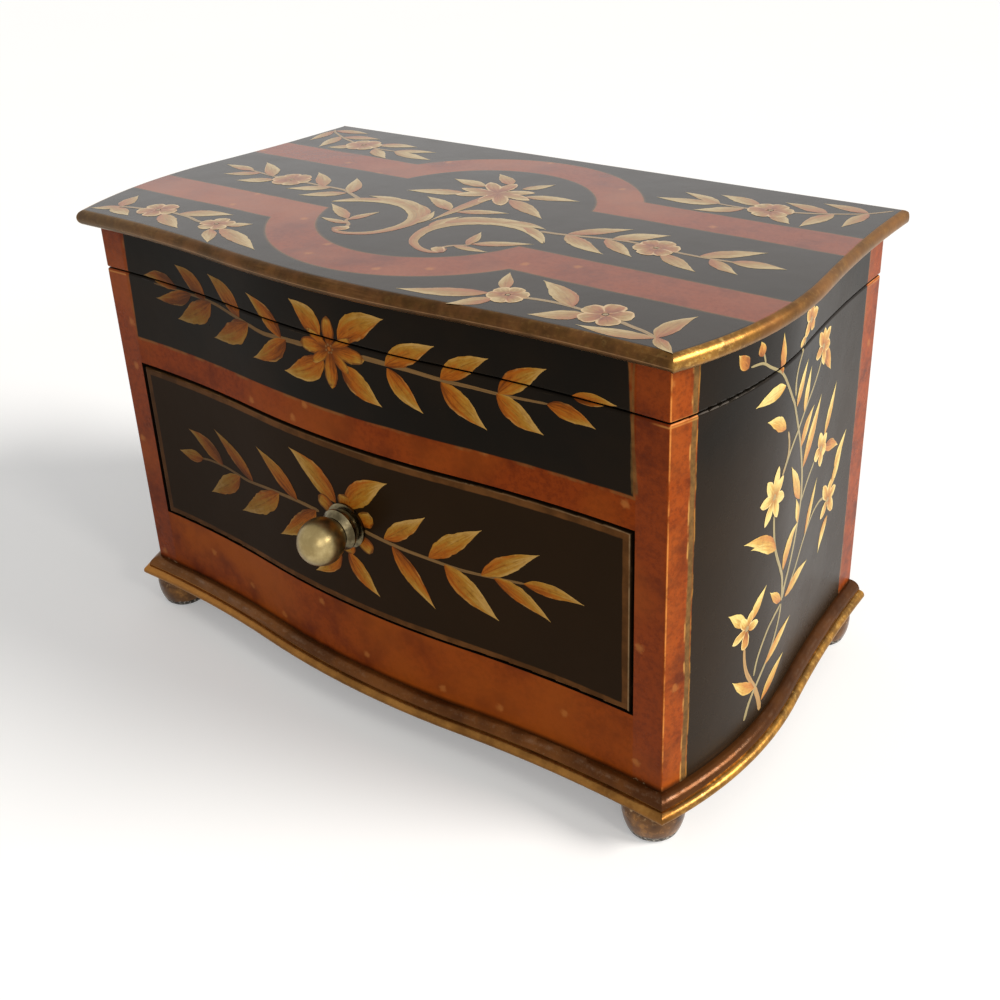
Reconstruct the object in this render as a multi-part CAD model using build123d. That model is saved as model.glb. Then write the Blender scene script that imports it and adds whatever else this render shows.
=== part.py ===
from build123d import *
import math
import os

# Jewelry chest: a painted wooden box with a bowed front, curved sides, a hinged lid,
# a lined well under the lid and one drawer below it.
# Millimetres. +Z is up and the front faces -Y.
# The plan is drawn about the middle of the case; the finished pieces are then moved
# so that the origin is the middle of the whole chest's footprint, on the floor.

# Plan of the case, measured at the wall faces
front_width = 252.0          # corner to corner along the front
case_depth = 146.5           # front corners to the flat back
front_bow = 6.3              # how far the front's middle stands proud of its corners
front_dip = 0.3              # how far the front falls back just inside each corner
front_flank_radius = 500.0   # hollow curve beside each front corner
side_bow = 11.0              # greatest swell of a side beyond the front corner
side_bow_inset = 56.0        # distance of that swell behind the front corner
side_waist = 7.3             # what is left of the swell where the side runs in again
side_waist_inset = 129.0     # distance of that waist behind the front corner

# Heights
pad_thickness = 0.8
foot_height = 13.2           # above the pad, up to the base board
base_thickness = 7.6
case_wall_height = 135.0     # base board to the seam under the lid
seam_gap = 0.3
lid_wall_height = 18.0       # seam to the underside of the lid top
lid_thickness = 6.0

# Walls, posts and rails
side_wall = 11.0             # thickness of a side at the front corner
front_wall = 10.0            # thickness of the front at its corners
back_wall = 12.0
bottom_rail_height = 26.3
drawer_opening_height = 70.0
middle_rail_height = 11.1
corner_round = 1.0           # worn upright corners
seam_round = 0.9             # rounded rims on both sides of the seam

# Lid top
lid_overhang = 6.5
tip_ease = 0.9               # worn off the sharp corners of the lid and the mouldings

# Base mouldings
moulding_overhang = 6.5
moulding_nosing_radius = 2.0
moulding_bead_start = 0.6    # small quirk between the wall and the bead
moulding_groove = 0.5        # height of the flat between the bead and the nosing
moulding_seat = 2.0          # how far the mouldings reach under the walls

# Feet
foot_inset = 6.0             # foot centre behind the wall faces at a corner
back_foot_inset = 13.0       # foot centre in front of the case's back
foot_belly_radius = 11.0
foot_neck_radius = 8.6
foot_bottom_radius = 9.0
foot_belly_height = 8.6      # widest place, above the pad
foot_dowel_radius = 3.0
foot_dowel_length = 6.0
pad_radius = 8.4

# Boards inside the case
well_floor_thickness = 5.0
shelf_thickness = 3.0
wear_strip_width = 8.0
wear_strip_thickness = 1.5
kicker_width = 8.0
kicker_height = 10.8         # the kickers reach up to the well floor
stop_size = 6.0

# Drawer
drawer_side_gap = 1.5
drawer_top_gap = 1.5
drawer_bottom_gap = 0.6
drawer_slide_clearance = 0.3
drawer_side_thickness = 7.0
drawer_side_height = 62.0
drawer_back_thickness = 7.0
drawer_bottom_thickness = 3.0
drawer_bottom_rise = 2.0     # drawer bottom above the lower edges of its sides
drawer_front_round = 0.8
drawer_pad_thickness = 2.0

# Knob
knob_rise = 1.4              # knob axis above the middle of the drawer opening
knob_ball_radius = 8.6
knob_reach = 13.0            # ball centre in front of the drawer face
rose_radius = 8.7
rose_rim_thickness = 1.2
rose_waist_radius = 6.9
rose_waist_slope = 0.5       # height of the slopes on both sides of the waist
rose_waist_height = 2.7      # between the rim and the front ring
rose_ring_radius = 7.9
rose_ring_thickness = 0.7
rose_nose_radius = 5.9       # where the ball sits
rose_nose_height = 2.0       # front ring to the ball's seat
knob_seat_depth = 0.25       # flat cut in the curved drawer face for the rose
knob_spigot_radius = 3.5
knob_screw_radius = 2.0
knob_screw_head_radius = 4.0
knob_screw_head_height = 2.2
knob_thread_depth = 9.0

# Hinges
hinge_inset = 40.0           # hinge centres from the inner faces of the sides
hinge_length = 34.0
leaf_width = 10.0
leaf_thickness = 1.2
knuckle_radius = 1.9
knuckle_wall_gap = 0.2       # knuckles to the back face
knuckle_end_gap = 0.2
hinge_pin_radius = 0.9
hinge_pin_clearance = 0.05
pin_head_radius = 1.3
pin_head_height = 0.6
hinge_screw_spacing = 20.0
hinge_screw_radius = 1.0
hinge_screw_head_radius = 2.0
hinge_screw_length = 7.0
screw_slot_width = 0.5
screw_slot_depth = 0.5

# Linings and fittings
lining_thickness = 1.2
lining_below_rim = 2.5
divider_thickness = 3.0
divider_offset = -14.0       # divider centre, left of the chest's middle
divider_height = 20.0
floor_pad_thickness = 3.0
ring_roll_count = 7
ring_roll_height = 19.0
ring_roll_gap = 0.6
lid_lining_thickness = 1.5
mirror_side_margin = 13.0    # mirror's ends to the side walls
mirror_edge_margin = 14.25   # mirror's long edges to the front and back walls
mirror_thickness = 2.5
mirror_frame_width = 6.0
mirror_frame_height = 4.0
mirror_frame_lap = 1.5       # the frame laps the mirror's edge by this much

# How far construction curves run past the corners that they cross
run_out = 22.0

# Levels
base_bottom = pad_thickness + foot_height
wall_bottom = base_bottom + base_thickness
case_rim = wall_bottom + case_wall_height
lid_rim = case_rim + seam_gap
lid_under = lid_rim + lid_wall_height
lid_top_level = lid_under + lid_thickness
opening_bottom = wall_bottom + bottom_rail_height
opening_top = opening_bottom + drawer_opening_height
apron_bottom = opening_top + middle_rail_height
strip_top = opening_bottom
shelf_top = strip_top - wear_strip_thickness
drawer_low = strip_top + drawer_slide_clearance
drawer_side_top = drawer_low + drawer_side_height
kicker_low = drawer_side_top + 2 * drawer_slide_clearance
well_floor_bottom = kicker_low + kicker_height
well_floor_top = well_floor_bottom + well_floor_thickness
knob_z = (opening_bottom + opening_top) / 2 + knob_rise
rose_ring_start = rose_rim_thickness + rose_waist_height
rose_depth = rose_ring_start + rose_ring_thickness + rose_nose_height

# Inner faces of the walls
half_front = front_width / 2
front_corner_y = -case_depth / 2
back_y = case_depth / 2
inner_x = half_front - side_wall
inner_front_y = front_corner_y + front_wall
inner_back_y = back_y - back_wall
hinge_spacing = 2 * (inner_x - hinge_inset)
far = 400.0

# Front curve: a hollow flank beside each corner and one full curve between them
dip_inset = math.sqrt(2 * front_flank_radius * front_dip - front_dip ** 2)
flank_x = half_front - dip_inset
front_rise = front_bow + front_dip
front_bow_radius = (flank_x ** 2 + front_rise ** 2) / (2 * front_rise) - front_flank_radius
front_bow_centre = Vector(0, front_corner_y - front_bow + front_bow_radius)
front_flank_centre = Vector(flank_x, front_corner_y + front_dip - front_flank_radius)

# Side curve: full towards the front, hollow towards the back
side_bow_radius = (side_bow_inset ** 2 + side_bow ** 2) / (2 * side_bow)
side_fall = side_bow - side_waist
side_run = side_waist_inset - side_bow_inset
side_waist_radius = (side_run ** 2 + side_fall ** 2) / (2 * side_fall) - side_bow_radius
side_bow_centre = Vector(half_front + side_bow - side_bow_radius, front_corner_y + side_bow_inset)
side_waist_centre = Vector(half_front + side_waist + side_waist_radius,
                           front_corner_y + side_waist_inset)


def on_circle(centre, radius, degrees):
    angle = math.radians(degrees)
    return centre + Vector(radius * math.cos(angle), radius * math.sin(angle))


def arc(centre, radius, start, end):
    middle = (start + end) / 2
    return ThreePointArc(on_circle(centre, radius, start),
                         on_circle(centre, radius, middle),
                         on_circle(centre, radius, end))


def bearing(centre, point):
    return math.degrees(math.atan2(point.Y - centre.Y, point.X - centre.X))


def front_curve(offset):
    # Runs from right to left, past both front corners.
    turn = bearing(front_bow_centre, front_flank_centre)
    end = 90 - math.degrees(math.asin((dip_inset + run_out) / front_flank_radius))
    flank_radius = front_flank_radius - offset
    left_centre = Vector(-front_flank_centre.X, front_flank_centre.Y)
    return Wire([*arc(front_flank_centre, flank_radius, end, turn + 180).edges(),
                 *arc(front_bow_centre, front_bow_radius + offset, turn, -180 - turn).edges(),
                 *arc(left_centre, flank_radius, -turn, 180 - end).edges()])


def side_curve(offset):
    # Runs from front to back along the right side, past both right corners.
    turn = bearing(side_bow_centre, side_waist_centre)
    start = -math.degrees(math.asin((side_bow_inset + run_out) / side_bow_radius))
    past = case_depth - side_waist_inset + run_out
    end = 180 - math.degrees(math.asin(past / side_waist_radius))
    return Wire([*arc(side_bow_centre, side_bow_radius + offset, start, turn).edges(),
                 *arc(side_waist_centre, side_waist_radius - offset, turn + 180, end).edges()])


def front_zone(offset):
    curve = front_curve(offset)
    right = curve.position_at(0)
    left = curve.position_at(1)
    return make_face([*curve.edges(), Polyline(left, (left.X, far), (right.X, far), right)])


def side_zone(offset):
    right = side_curve(offset)
    start = right.position_at(0)
    end = right.position_at(1)
    return make_face([*right.edges(), *mirror(right, Plane.YZ).edges(),
                      Line((-start.X, start.Y), start), Line((-end.X, end.Y), end)])


def prism(front_offset, side_offset, back_offset, low, high):
    # Solid between two levels whose outline lies these distances outside the wall faces.
    height = high - low
    body = extrude(Pos(0, 0, low) * front_zone(front_offset), height)
    body &= extrude(Pos(0, 0, low) * side_zone(side_offset), height)
    return body & box(-far, far, -far, back_y + back_offset, low, high)


def box(x0, x1, y0, y1, z0, z1):
    return Pos(x0, y0, z0) * Box(x1 - x0, y1 - y0, z1 - z0, align=(Align.MIN,) * 3)


def two_sided(x0, x1, y0, y1, z0, z1):
    piece = box(x0, x1, y0, y1, z0, z1)
    return [piece, mirror(piece, Plane.YZ)]


def cylinder(radius, x, y, z0, z1):
    return Pos(x, y, z0) * Cylinder(radius, z1 - z0, align=(Align.CENTER, Align.CENTER, Align.MIN))


def swept(profile, path, outward):
    # The profile's x is the distance outside the path and its y is the height.
    section = Plane(origin=path.position_at(0), x_dir=outward,
                    z_dir=outward.cross(Vector(0, 0, 1)))
    return sweep(section * profile, path)


def edge_paths():
    # The front and side wall lines, each with its outward direction at its start.
    front = front_curve(0)
    side = side_curve(0)
    return (front, front.tangent_at(0).rotate(Axis.Z, 90),
            side, side.tangent_at(0).rotate(Axis.Z, -90))


def edged_board(profile, depth, low, high):
    # A board with the same shaped edge all round, cleanly mitred at its corners.
    front_path, front_out, side_path, side_out = edge_paths()
    front = swept(profile, front_path, front_out)
    front += extrude(Pos(0, 0, low) * front_zone(1 - depth), high - low)
    edge = swept(profile, side_path, side_out)
    sides = extrude(Pos(0, 0, low) * side_zone(1 - depth), high - low)
    sides += edge
    sides += mirror(edge, Plane.YZ)
    end_plane = Plane(origin=(-far, back_y, 0), x_dir=(0, 1, 0), z_dir=(1, 0, 0))
    back = extrude(end_plane * profile, 2 * far)
    back += box(-far, far, -far, back_y + 1 - depth, low, high)
    return front & sides & back


def outline_corner(offset):
    corners = prism(offset, offset, 0, 0, 1).vertices()
    return max(corners, key=lambda corner: corner.X - corner.Y)


def solid(shape):
    # The single solid of a piece.
    solids = shape.solids()
    if len(solids) != 1:
        raise ValueError(f"expected one solid, found {len(solids)}")
    return solids[0]


def group(shapes):
    return Compound([piece for shape in shapes for piece in shape.solids()])


def upright_corners(body):
    uprights = body.edges().filter_by(Axis.Z)
    return sorted(uprights, key=lambda edge: abs(edge.center().X) + abs(edge.center().Y))[-4:]


def eased_outline(overhang, low, high):
    # Just outside an overhanging edge all round, with corners that ease the edge's tips.
    margin = 1.0
    offset = overhang + margin
    body = prism(offset, offset, offset, low, high)
    radius = (math.sqrt(2) * margin + tip_ease) / (math.sqrt(2) - 1)
    return fillet(upright_corners(body), radius)


def outer_case():
    body = prism(0, 0, 0, wall_bottom, case_rim)
    body = fillet(upright_corners(body), corner_round)
    return fillet(body.faces().sort_by(Axis.Z)[-1].edges(), seam_round)


def outer_lid_walls():
    body = prism(0, 0, 0, lid_rim, lid_under)
    body = fillet(upright_corners(body), corner_round)
    return fillet(body.faces().sort_by(Axis.Z)[0].edges(), seam_round)


def corner_posts(outer, low, high, prefix):
    front = (-far, inner_front_y)
    back = (inner_back_y, far)
    sides = {"left": (-far, -inner_x), "right": (inner_x, far)}
    pieces = {}
    for side, (x0, x1) in sides.items():
        pieces[f"{prefix}_post_front_{side}"] = outer & box(x0, x1, *front, low, high)
        pieces[f"{prefix}_post_back_{side}"] = outer & box(x0, x1, *back, low, high)
    return pieces


def hinge_screw_places():
    places = []
    for centre in (-hinge_spacing / 2, hinge_spacing / 2):
        for step in (-hinge_screw_spacing / 2, hinge_screw_spacing / 2):
            places.append((centre + step, back_y - leaf_width / 2))
    return places


def hinge_screws(level, direction):
    # Countersunk screws whose heads lie at the level; they run along the direction.
    head_drop = hinge_screw_head_radius - hinge_screw_radius
    outline = Polyline((0, 0), (hinge_screw_head_radius, 0), (hinge_screw_radius, -head_drop),
                       (hinge_screw_radius, -hinge_screw_length), (0, -hinge_screw_length - 1),
                       close=True)
    screw = revolve(Plane.XZ * make_face(outline), Axis.Z)
    screw -= box(-far, far, -screw_slot_width / 2, screw_slot_width / 2, -screw_slot_depth, 1)
    if direction > 0:
        screw = mirror(screw, Plane.XY)
    return [Pos(x, y, level) * screw for x, y in hinge_screw_places()]


def hinge_screw_holes(level, direction):
    # The screws without their slots, to bore the leaves and the walls.
    head_drop = hinge_screw_head_radius - hinge_screw_radius
    outline = Polyline((0, 0), (hinge_screw_head_radius, 0), (hinge_screw_radius, -head_drop),
                       (hinge_screw_radius, -hinge_screw_length), (0, -hinge_screw_length - 1),
                       close=True)
    hole = revolve(Plane.XZ * make_face(outline), Axis.Z)
    if direction > 0:
        hole = mirror(hole, Plane.XY)
    return [Pos(x, y, level) * hole for x, y in hinge_screw_places()]


hinge_y = back_y + knuckle_wall_gap + knuckle_radius
hinge_z = case_rim + seam_gap / 2
knuckle_length = (hinge_length - 2 * knuckle_end_gap) / 3


def barrel(centre, start, length, radius):
    along = Plane(origin=(centre + start, hinge_y, hinge_z), z_dir=(1, 0, 0))
    return along * Cylinder(radius, length, align=(Align.CENTER, Align.CENTER, Align.MIN))


def hinge_leaf(centre, low, high, knuckle_starts, bore):
    half = hinge_length / 2
    leaf = box(centre - half, centre + half, back_y - leaf_width, back_y, low, high)
    for start in knuckle_starts:
        x0 = centre + start
        leaf += box(x0, x0 + knuckle_length, back_y - 1, hinge_y, low, high)
        leaf += barrel(centre, start, knuckle_length, knuckle_radius)
    return leaf - barrel(centre, -hinge_length, 2 * hinge_length, bore)


def hinge_pin(centre):
    half = hinge_length / 2
    pin = barrel(centre, -half, hinge_length, hinge_pin_radius)
    pin += barrel(centre, -half - pin_head_height, pin_head_height, pin_head_radius)
    pin += barrel(centre, half, pin_head_height, pin_head_radius)
    return pin


def lid_pieces():
    half = lid_thickness / 2
    nose = lid_overhang - half
    depth = 10.0
    middle = lid_under + half
    profile = make_face([
        Polyline((nose, lid_top_level), (-depth, lid_top_level), (-depth, lid_under),
                 (nose, lid_under)),
        ThreePointArc((nose, lid_under), (lid_overhang, middle), (nose, lid_top_level))])
    board = edged_board(profile, depth, lid_under, lid_top_level)
    board &= eased_outline(lid_overhang, lid_under - 1, lid_top_level + 1)
    pieces = {"lid_top": board}

    outer = outer_lid_walls()
    pieces |= corner_posts(outer, lid_rim, lid_under, "lid")
    span = (lid_rim, lid_under)
    pieces["lid_front"] = outer & box(-inner_x, inner_x, -far, inner_front_y, *span)
    pieces["lid_left"] = outer & box(-far, -inner_x, inner_front_y, inner_back_y, *span)
    pieces["lid_right"] = outer & box(inner_x, far, inner_front_y, inner_back_y, *span)
    back = outer & box(-inner_x, inner_x, inner_back_y, far, *span)

    middle_knuckle = [-knuckle_length / 2]
    leaf_high = lid_rim + leaf_thickness
    for side, centre in (("left", -hinge_spacing / 2), ("right", hinge_spacing / 2)):
        leaf = hinge_leaf(centre, lid_rim, leaf_high, middle_knuckle,
                          hinge_pin_radius + hinge_pin_clearance)
        half_leaf = hinge_length / 2
        back -= box(centre - half_leaf, centre + half_leaf, back_y - leaf_width, far,
                    lid_rim - 1, leaf_high)
        for hole in hinge_screw_holes(lid_rim, 1):
            leaf -= hole
        pieces[f"hinge_lid_leaf_{side}"] = leaf
    for hole in hinge_screw_holes(lid_rim, 1):
        back -= hole
    pieces["lid_back"] = back
    pieces["hinge_lid_screws"] = group(hinge_screws(lid_rim, 1))

    lining_low = lid_under - lid_lining_thickness
    pieces["lid_lining"] = box(-inner_x, inner_x, inner_front_y, inner_back_y,
                               lining_low, lid_under)
    middle_y = (inner_front_y + inner_back_y) / 2
    half_w = inner_x - mirror_side_margin
    half_d = (inner_back_y - inner_front_y) / 2 - mirror_edge_margin
    mirror_low = lining_low - mirror_thickness
    pieces["lid_mirror"] = box(-half_w, half_w, middle_y - half_d, middle_y + half_d,
                               mirror_low, lining_low)
    pieces["mirror_frame"] = group(mirror_frame(middle_y, half_w, half_d, lining_low))
    return pieces


def mirror_frame(middle_y, half_w, half_d, top):
    # Four mitred strips, rebated over the mirror's edge.
    reach = mirror_frame_width - mirror_frame_lap
    low = top - mirror_frame_height
    ring = box(-half_w - reach, half_w + reach, -half_d - reach, half_d + reach, low, top)
    lap = mirror_frame_lap
    ring -= box(-half_w + lap, half_w - lap, -half_d + lap, half_d - lap, low - 1, top + 1)
    ring -= box(-half_w, half_w, -half_d, half_d, top - mirror_thickness, top + 1)
    ring = chamfer(ring.faces().sort_by(Axis.Z)[0].edges(), lap / 2)
    edge = half_w - half_d
    ends = Polyline((-edge, 0), (-edge - far, -far), (-edge - far, far), close=True)
    left_wedge = extrude(Pos(0, 0, low - 1) * make_face(ends), mirror_frame_height + 2)
    right_wedge = mirror(left_wedge, Plane.YZ)
    sides = [ring & left_wedge, ring & right_wedge]
    rest = ring - left_wedge - right_wedge
    return [Pos(0, middle_y) * strip for strip in [*sides, rest]]


def case_shell_pieces():
    outer = outer_case()
    pieces = corner_posts(outer, wall_bottom, case_rim, "case")
    walls = (wall_bottom, case_rim)
    pieces["case_side_left"] = outer & box(-far, -inner_x, inner_front_y, inner_back_y, *walls)
    pieces["case_side_right"] = outer & box(inner_x, far, inner_front_y, inner_back_y, *walls)
    back = outer & box(-inner_x, inner_x, inner_back_y, far, *walls)

    front = (-inner_x, inner_x, -far, inner_front_y)
    pieces["front_bottom_rail"] = outer & box(*front, wall_bottom, opening_bottom)
    pieces["front_middle_rail"] = outer & box(*front, opening_top, apron_bottom)
    pieces["front_apron"] = outer & box(*front, apron_bottom, case_rim)

    outer_knuckles = [-hinge_length / 2, hinge_length / 2 - knuckle_length]
    leaf_low = case_rim - leaf_thickness
    for side, centre in (("left", -hinge_spacing / 2), ("right", hinge_spacing / 2)):
        leaf = hinge_leaf(centre, leaf_low, case_rim, outer_knuckles, hinge_pin_radius)
        half_leaf = hinge_length / 2
        back -= box(centre - half_leaf, centre + half_leaf, back_y - leaf_width, far,
                    leaf_low, case_rim + 1)
        for hole in hinge_screw_holes(case_rim, -1):
            leaf -= hole
        pieces[f"hinge_case_leaf_{side}"] = leaf
    for hole in hinge_screw_holes(case_rim, -1):
        back -= hole
    pieces["case_back"] = back
    pieces["hinge_case_screws"] = group(hinge_screws(case_rim, -1))
    pieces["hinge_pins"] = group([hinge_pin(-hinge_spacing / 2), hinge_pin(hinge_spacing / 2)])
    return pieces


def foot_places():
    back_corner = max(prism(0, 0, 0, 0, 1).vertices(), key=lambda corner: corner.X + corner.Y)
    front_x = half_front - foot_inset
    back_x = back_corner.X - foot_inset
    return {"front_left": (-front_x, front_corner_y + foot_inset),
            "front_right": (front_x, front_corner_y + foot_inset),
            "back_left": (-back_x, back_y - back_foot_inset),
            "back_right": (back_x, back_y - back_foot_inset)}


def foot(x, y):
    belly = pad_thickness + foot_belly_height
    dowel_top = base_bottom + foot_dowel_length
    upper_bulge = (foot_belly_radius - 0.25 * (foot_belly_radius - foot_neck_radius),
                   (belly + base_bottom) / 2 + 0.6)
    lower_bulge = (foot_belly_radius - 0.3 * (foot_belly_radius - foot_bottom_radius),
                   pad_thickness + 0.45 * foot_belly_height)
    outline = [
        Line((0, pad_thickness), (foot_bottom_radius, pad_thickness)),
        ThreePointArc((foot_bottom_radius, pad_thickness), lower_bulge,
                      (foot_belly_radius, belly)),
        ThreePointArc((foot_belly_radius, belly), upper_bulge, (foot_neck_radius, base_bottom)),
        Polyline((foot_neck_radius, base_bottom), (foot_dowel_radius, base_bottom),
                 (foot_dowel_radius, dowel_top), (0, dowel_top), (0, pad_thickness))]
    return Pos(x, y) * revolve(Plane.XZ * make_face(outline), Axis.Z)


def base_pieces():
    pieces = {}
    board = prism(-moulding_seat, -moulding_seat, 0, base_bottom, wall_bottom)
    places = foot_places()
    for name, (x, y) in places.items():
        pieces[f"foot_{name}"] = foot(x, y)
        board -= cylinder(foot_dowel_radius, x, y, base_bottom, base_bottom + foot_dowel_length)
    pieces["base_board"] = board
    pieces["foot_pads"] = group([cylinder(pad_radius, x, y, 0, pad_thickness)
                                 for x, y in places.values()])

    # Moulding edge: a quirk under the wall, a bead, a small flat and the nosing.
    nosing_x = moulding_overhang - moulding_nosing_radius
    nosing_top = base_bottom + 2 * moulding_nosing_radius
    bead_low = nosing_top + moulding_groove
    bead_out = nosing_x - 0.3
    bead_start = (moulding_bead_start, wall_bottom)
    reach_x = bead_out - moulding_bead_start
    reach_z = wall_bottom - bead_low
    bead_middle = (moulding_bead_start + 0.68 * reach_x, bead_low + 0.68 * reach_z)
    seat = -moulding_seat
    profile = make_face([
        Polyline((nosing_x, base_bottom), (seat, base_bottom), (seat, wall_bottom), bead_start),
        ThreePointArc(bead_start, bead_middle, (bead_out, bead_low)),
        Polyline((bead_out, bead_low), (bead_out, nosing_top), (nosing_x, nosing_top)),
        ThreePointArc((nosing_x, nosing_top),
                      (moulding_overhang, base_bottom + moulding_nosing_radius),
                      (nosing_x, base_bottom))])

    # The mitre planes pass through the corners of the seat line and of the nosing line.
    inner = outline_corner(-moulding_seat)
    outer = outline_corner(moulding_overhang)
    slope = (inner.X - outer.X) / (inner.Y - outer.Y)
    near_y = outer.Y - 40
    near_x = outer.X + slope * (near_y - outer.Y)
    past_x = inner.X + slope * 10
    wedge = make_face(Polyline((-near_x, near_y), (near_x, near_y), (past_x, inner.Y + 10),
                               (-past_x, inner.Y + 10), close=True))
    wedge = extrude(Pos(0, 0, base_bottom - 1) * wedge, base_thickness + 2)
    front_path, front_out, side_path, side_out = edge_paths()
    tips = eased_outline(moulding_overhang, base_bottom - 1, wall_bottom + 1)
    pieces["base_moulding_front"] = swept(profile, front_path, front_out) & wedge & tips
    right = (swept(profile, side_path, side_out) - wedge) & tips
    right &= box(0, far, -far, back_y, base_bottom - 1, wall_bottom + 1)
    right = right.solids().sort_by(Axis.Y)[-1]
    pieces["base_moulding_right"] = right
    pieces["base_moulding_left"] = mirror(right, Plane.YZ)
    return pieces


drawer_half_width = inner_x - drawer_side_gap
drawer_back_end = inner_back_y - stop_size - drawer_slide_clearance


def inner_case_pieces():
    inside = (-inner_x, inner_x, inner_front_y, inner_back_y)
    pieces = {"well_floor": box(*inside, well_floor_bottom, well_floor_top)}
    pieces["drawer_shelf"] = box(*inside, shelf_top - shelf_thickness, shelf_top)
    pieces["drawer_wear_strips"] = group(two_sided(
        inner_x - wear_strip_width, inner_x, inner_front_y, inner_back_y, shelf_top, strip_top))
    pieces["drawer_kickers"] = group(two_sided(
        inner_x - kicker_width, inner_x, inner_front_y, inner_back_y,
        kicker_low, well_floor_bottom))
    stop_x = inner_x - wear_strip_width
    pieces["drawer_stops"] = group(two_sided(
        stop_x - 2 * stop_size, stop_x, inner_back_y - stop_size, inner_back_y,
        shelf_top, shelf_top + 2 * stop_size))
    return pieces


def lining_pieces():
    high = case_rim - lining_below_rim
    card = lining_thickness
    front_y = inner_front_y + card
    rear_y = inner_back_y - card
    side_x = inner_x - card
    level = (well_floor_top, high)
    pieces = {}
    pieces["well_lining_front"] = box(-inner_x, inner_x, inner_front_y, front_y, *level)
    pieces["well_lining_back"] = box(-inner_x, inner_x, rear_y, inner_back_y, *level)
    pieces["well_lining_left"] = box(-inner_x, -side_x, front_y, rear_y, *level)
    pieces["well_lining_right"] = box(side_x, inner_x, front_y, rear_y, *level)
    divider_left = divider_offset - divider_thickness / 2
    divider_right = divider_offset + divider_thickness / 2
    pieces["well_divider"] = box(divider_left, divider_right, front_y, rear_y,
                                 well_floor_top, well_floor_top + divider_height)
    pieces["well_floor_pad"] = box(divider_right, side_x, front_y, rear_y,
                                   well_floor_top, well_floor_top + floor_pad_thickness)

    # Ring rolls: padded bars side by side, each with a rounded top.
    pitch = (rear_y - front_y) / ring_roll_count
    width = pitch - ring_roll_gap
    shoulder = ring_roll_height - width / 2
    end = make_face([
        Polyline((-width / 2, shoulder), (-width / 2, 0), (width / 2, 0), (width / 2, shoulder)),
        ThreePointArc((-width / 2, shoulder), (0, ring_roll_height), (width / 2, shoulder))])
    length = divider_left + side_x
    roll = extrude(Plane(origin=(-side_x, 0, well_floor_top), x_dir=(0, 1, 0),
                         z_dir=(1, 0, 0)) * end, length)
    rolls = [Pos(0, front_y + pitch * (index + 0.5)) * roll for index in range(ring_roll_count)]
    pieces["ring_rolls"] = group(rolls)
    return pieces


def knob_axis(distance):
    # Plane on the knob's axis, this far in front of the drawer face, looking back along +Y.
    face_y = front_corner_y - front_bow
    return Plane(origin=(0, face_y - distance, knob_z), x_dir=(1, 0, 0), z_dir=(0, -1, 0))


def drawer_pieces():
    outer = prism(0, 0, 0, wall_bottom, case_rim)
    low = opening_bottom + drawer_bottom_gap
    high = opening_top - drawer_top_gap
    front = outer & box(-drawer_half_width, drawer_half_width, -far, inner_front_y, low, high)
    rim = [edge for edge in front.edges()
           if edge.center().Y < inner_front_y - 1
           and (abs(edge.center().Z - low) < 0.01 or abs(edge.center().Z - high) < 0.01
                or abs(edge.center().X) > drawer_half_width - 0.01)
           and edge.bounding_box().size.Y < front_wall / 2]
    front = fillet(rim, drawer_front_round)

    align = (Align.CENTER, Align.CENTER, Align.MIN)
    seat = knob_axis(-knob_seat_depth)
    front -= seat * Cylinder(rose_radius, 5, align=align)
    inner_face_distance = front_corner_y - front_bow - inner_front_y
    inside = knob_axis(inner_face_distance)
    front -= inside * Cylinder(knob_screw_radius, far, align=align)

    # The rose: a thin rim, then a body that narrows to the ball.
    body = Polyline((0, 0), (rose_radius, 0), (rose_radius, rose_rim_thickness),
                    (rose_waist_radius, rose_rim_thickness + rose_waist_slope),
                    (rose_waist_radius, rose_ring_start - rose_waist_slope),
                    (rose_ring_radius, rose_ring_start),
                    (rose_ring_radius, rose_ring_start + rose_ring_thickness),
                    (rose_nose_radius, rose_depth), (0, rose_depth), close=True)
    rose = seat * revolve(Plane.XZ * make_face(body), Axis.Z)
    rose -= inside * Cylinder(knob_screw_radius, far, align=align)
    rose -= knob_axis(rose_depth - 3 - knob_seat_depth) * Cylinder(knob_spigot_radius, far,
                                                                   align=align)
    ball = knob_axis(knob_reach) * Sphere(knob_ball_radius)
    ball &= knob_axis(rose_depth - knob_seat_depth) * Cylinder(far, far, align=align)
    ball += knob_axis(rose_depth - 3 - knob_seat_depth) * Cylinder(
        knob_spigot_radius, knob_ball_radius, align=align)
    thread_end = rose_depth - 3 - knob_seat_depth + knob_thread_depth
    screw_length = thread_end - inner_face_distance
    screw = inside * Cylinder(knob_screw_radius, screw_length, align=align)
    ball -= screw
    head = knob_axis(inner_face_distance - knob_screw_head_height)
    screw += head * Cylinder(knob_screw_head_radius, knob_screw_head_height, align=align)
    screw -= head * Box(2 * far, screw_slot_width, 2 * screw_slot_depth)

    pieces = {"drawer_front": front, "knob_rose": rose, "drawer_knob": ball,
              "knob_screw": screw}
    side_x = drawer_half_width - drawer_side_thickness
    side = box(side_x, drawer_half_width, inner_front_y, drawer_back_end,
               drawer_low, drawer_side_top)
    pieces["drawer_side_right"] = side
    pieces["drawer_side_left"] = mirror(side, Plane.YZ)
    back_front = drawer_back_end - drawer_back_thickness
    pieces["drawer_back"] = box(-side_x, side_x, back_front, drawer_back_end,
                                drawer_low, drawer_side_top)
    bottom_low = drawer_low + drawer_bottom_rise
    bottom_top = bottom_low + drawer_bottom_thickness
    floor = (-side_x, side_x, inner_front_y, back_front)
    pieces["drawer_bottom"] = box(*floor, bottom_low, bottom_top)
    pieces["drawer_pad"] = box(*floor, bottom_top, bottom_top + drawer_pad_thickness)
    return pieces


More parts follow.
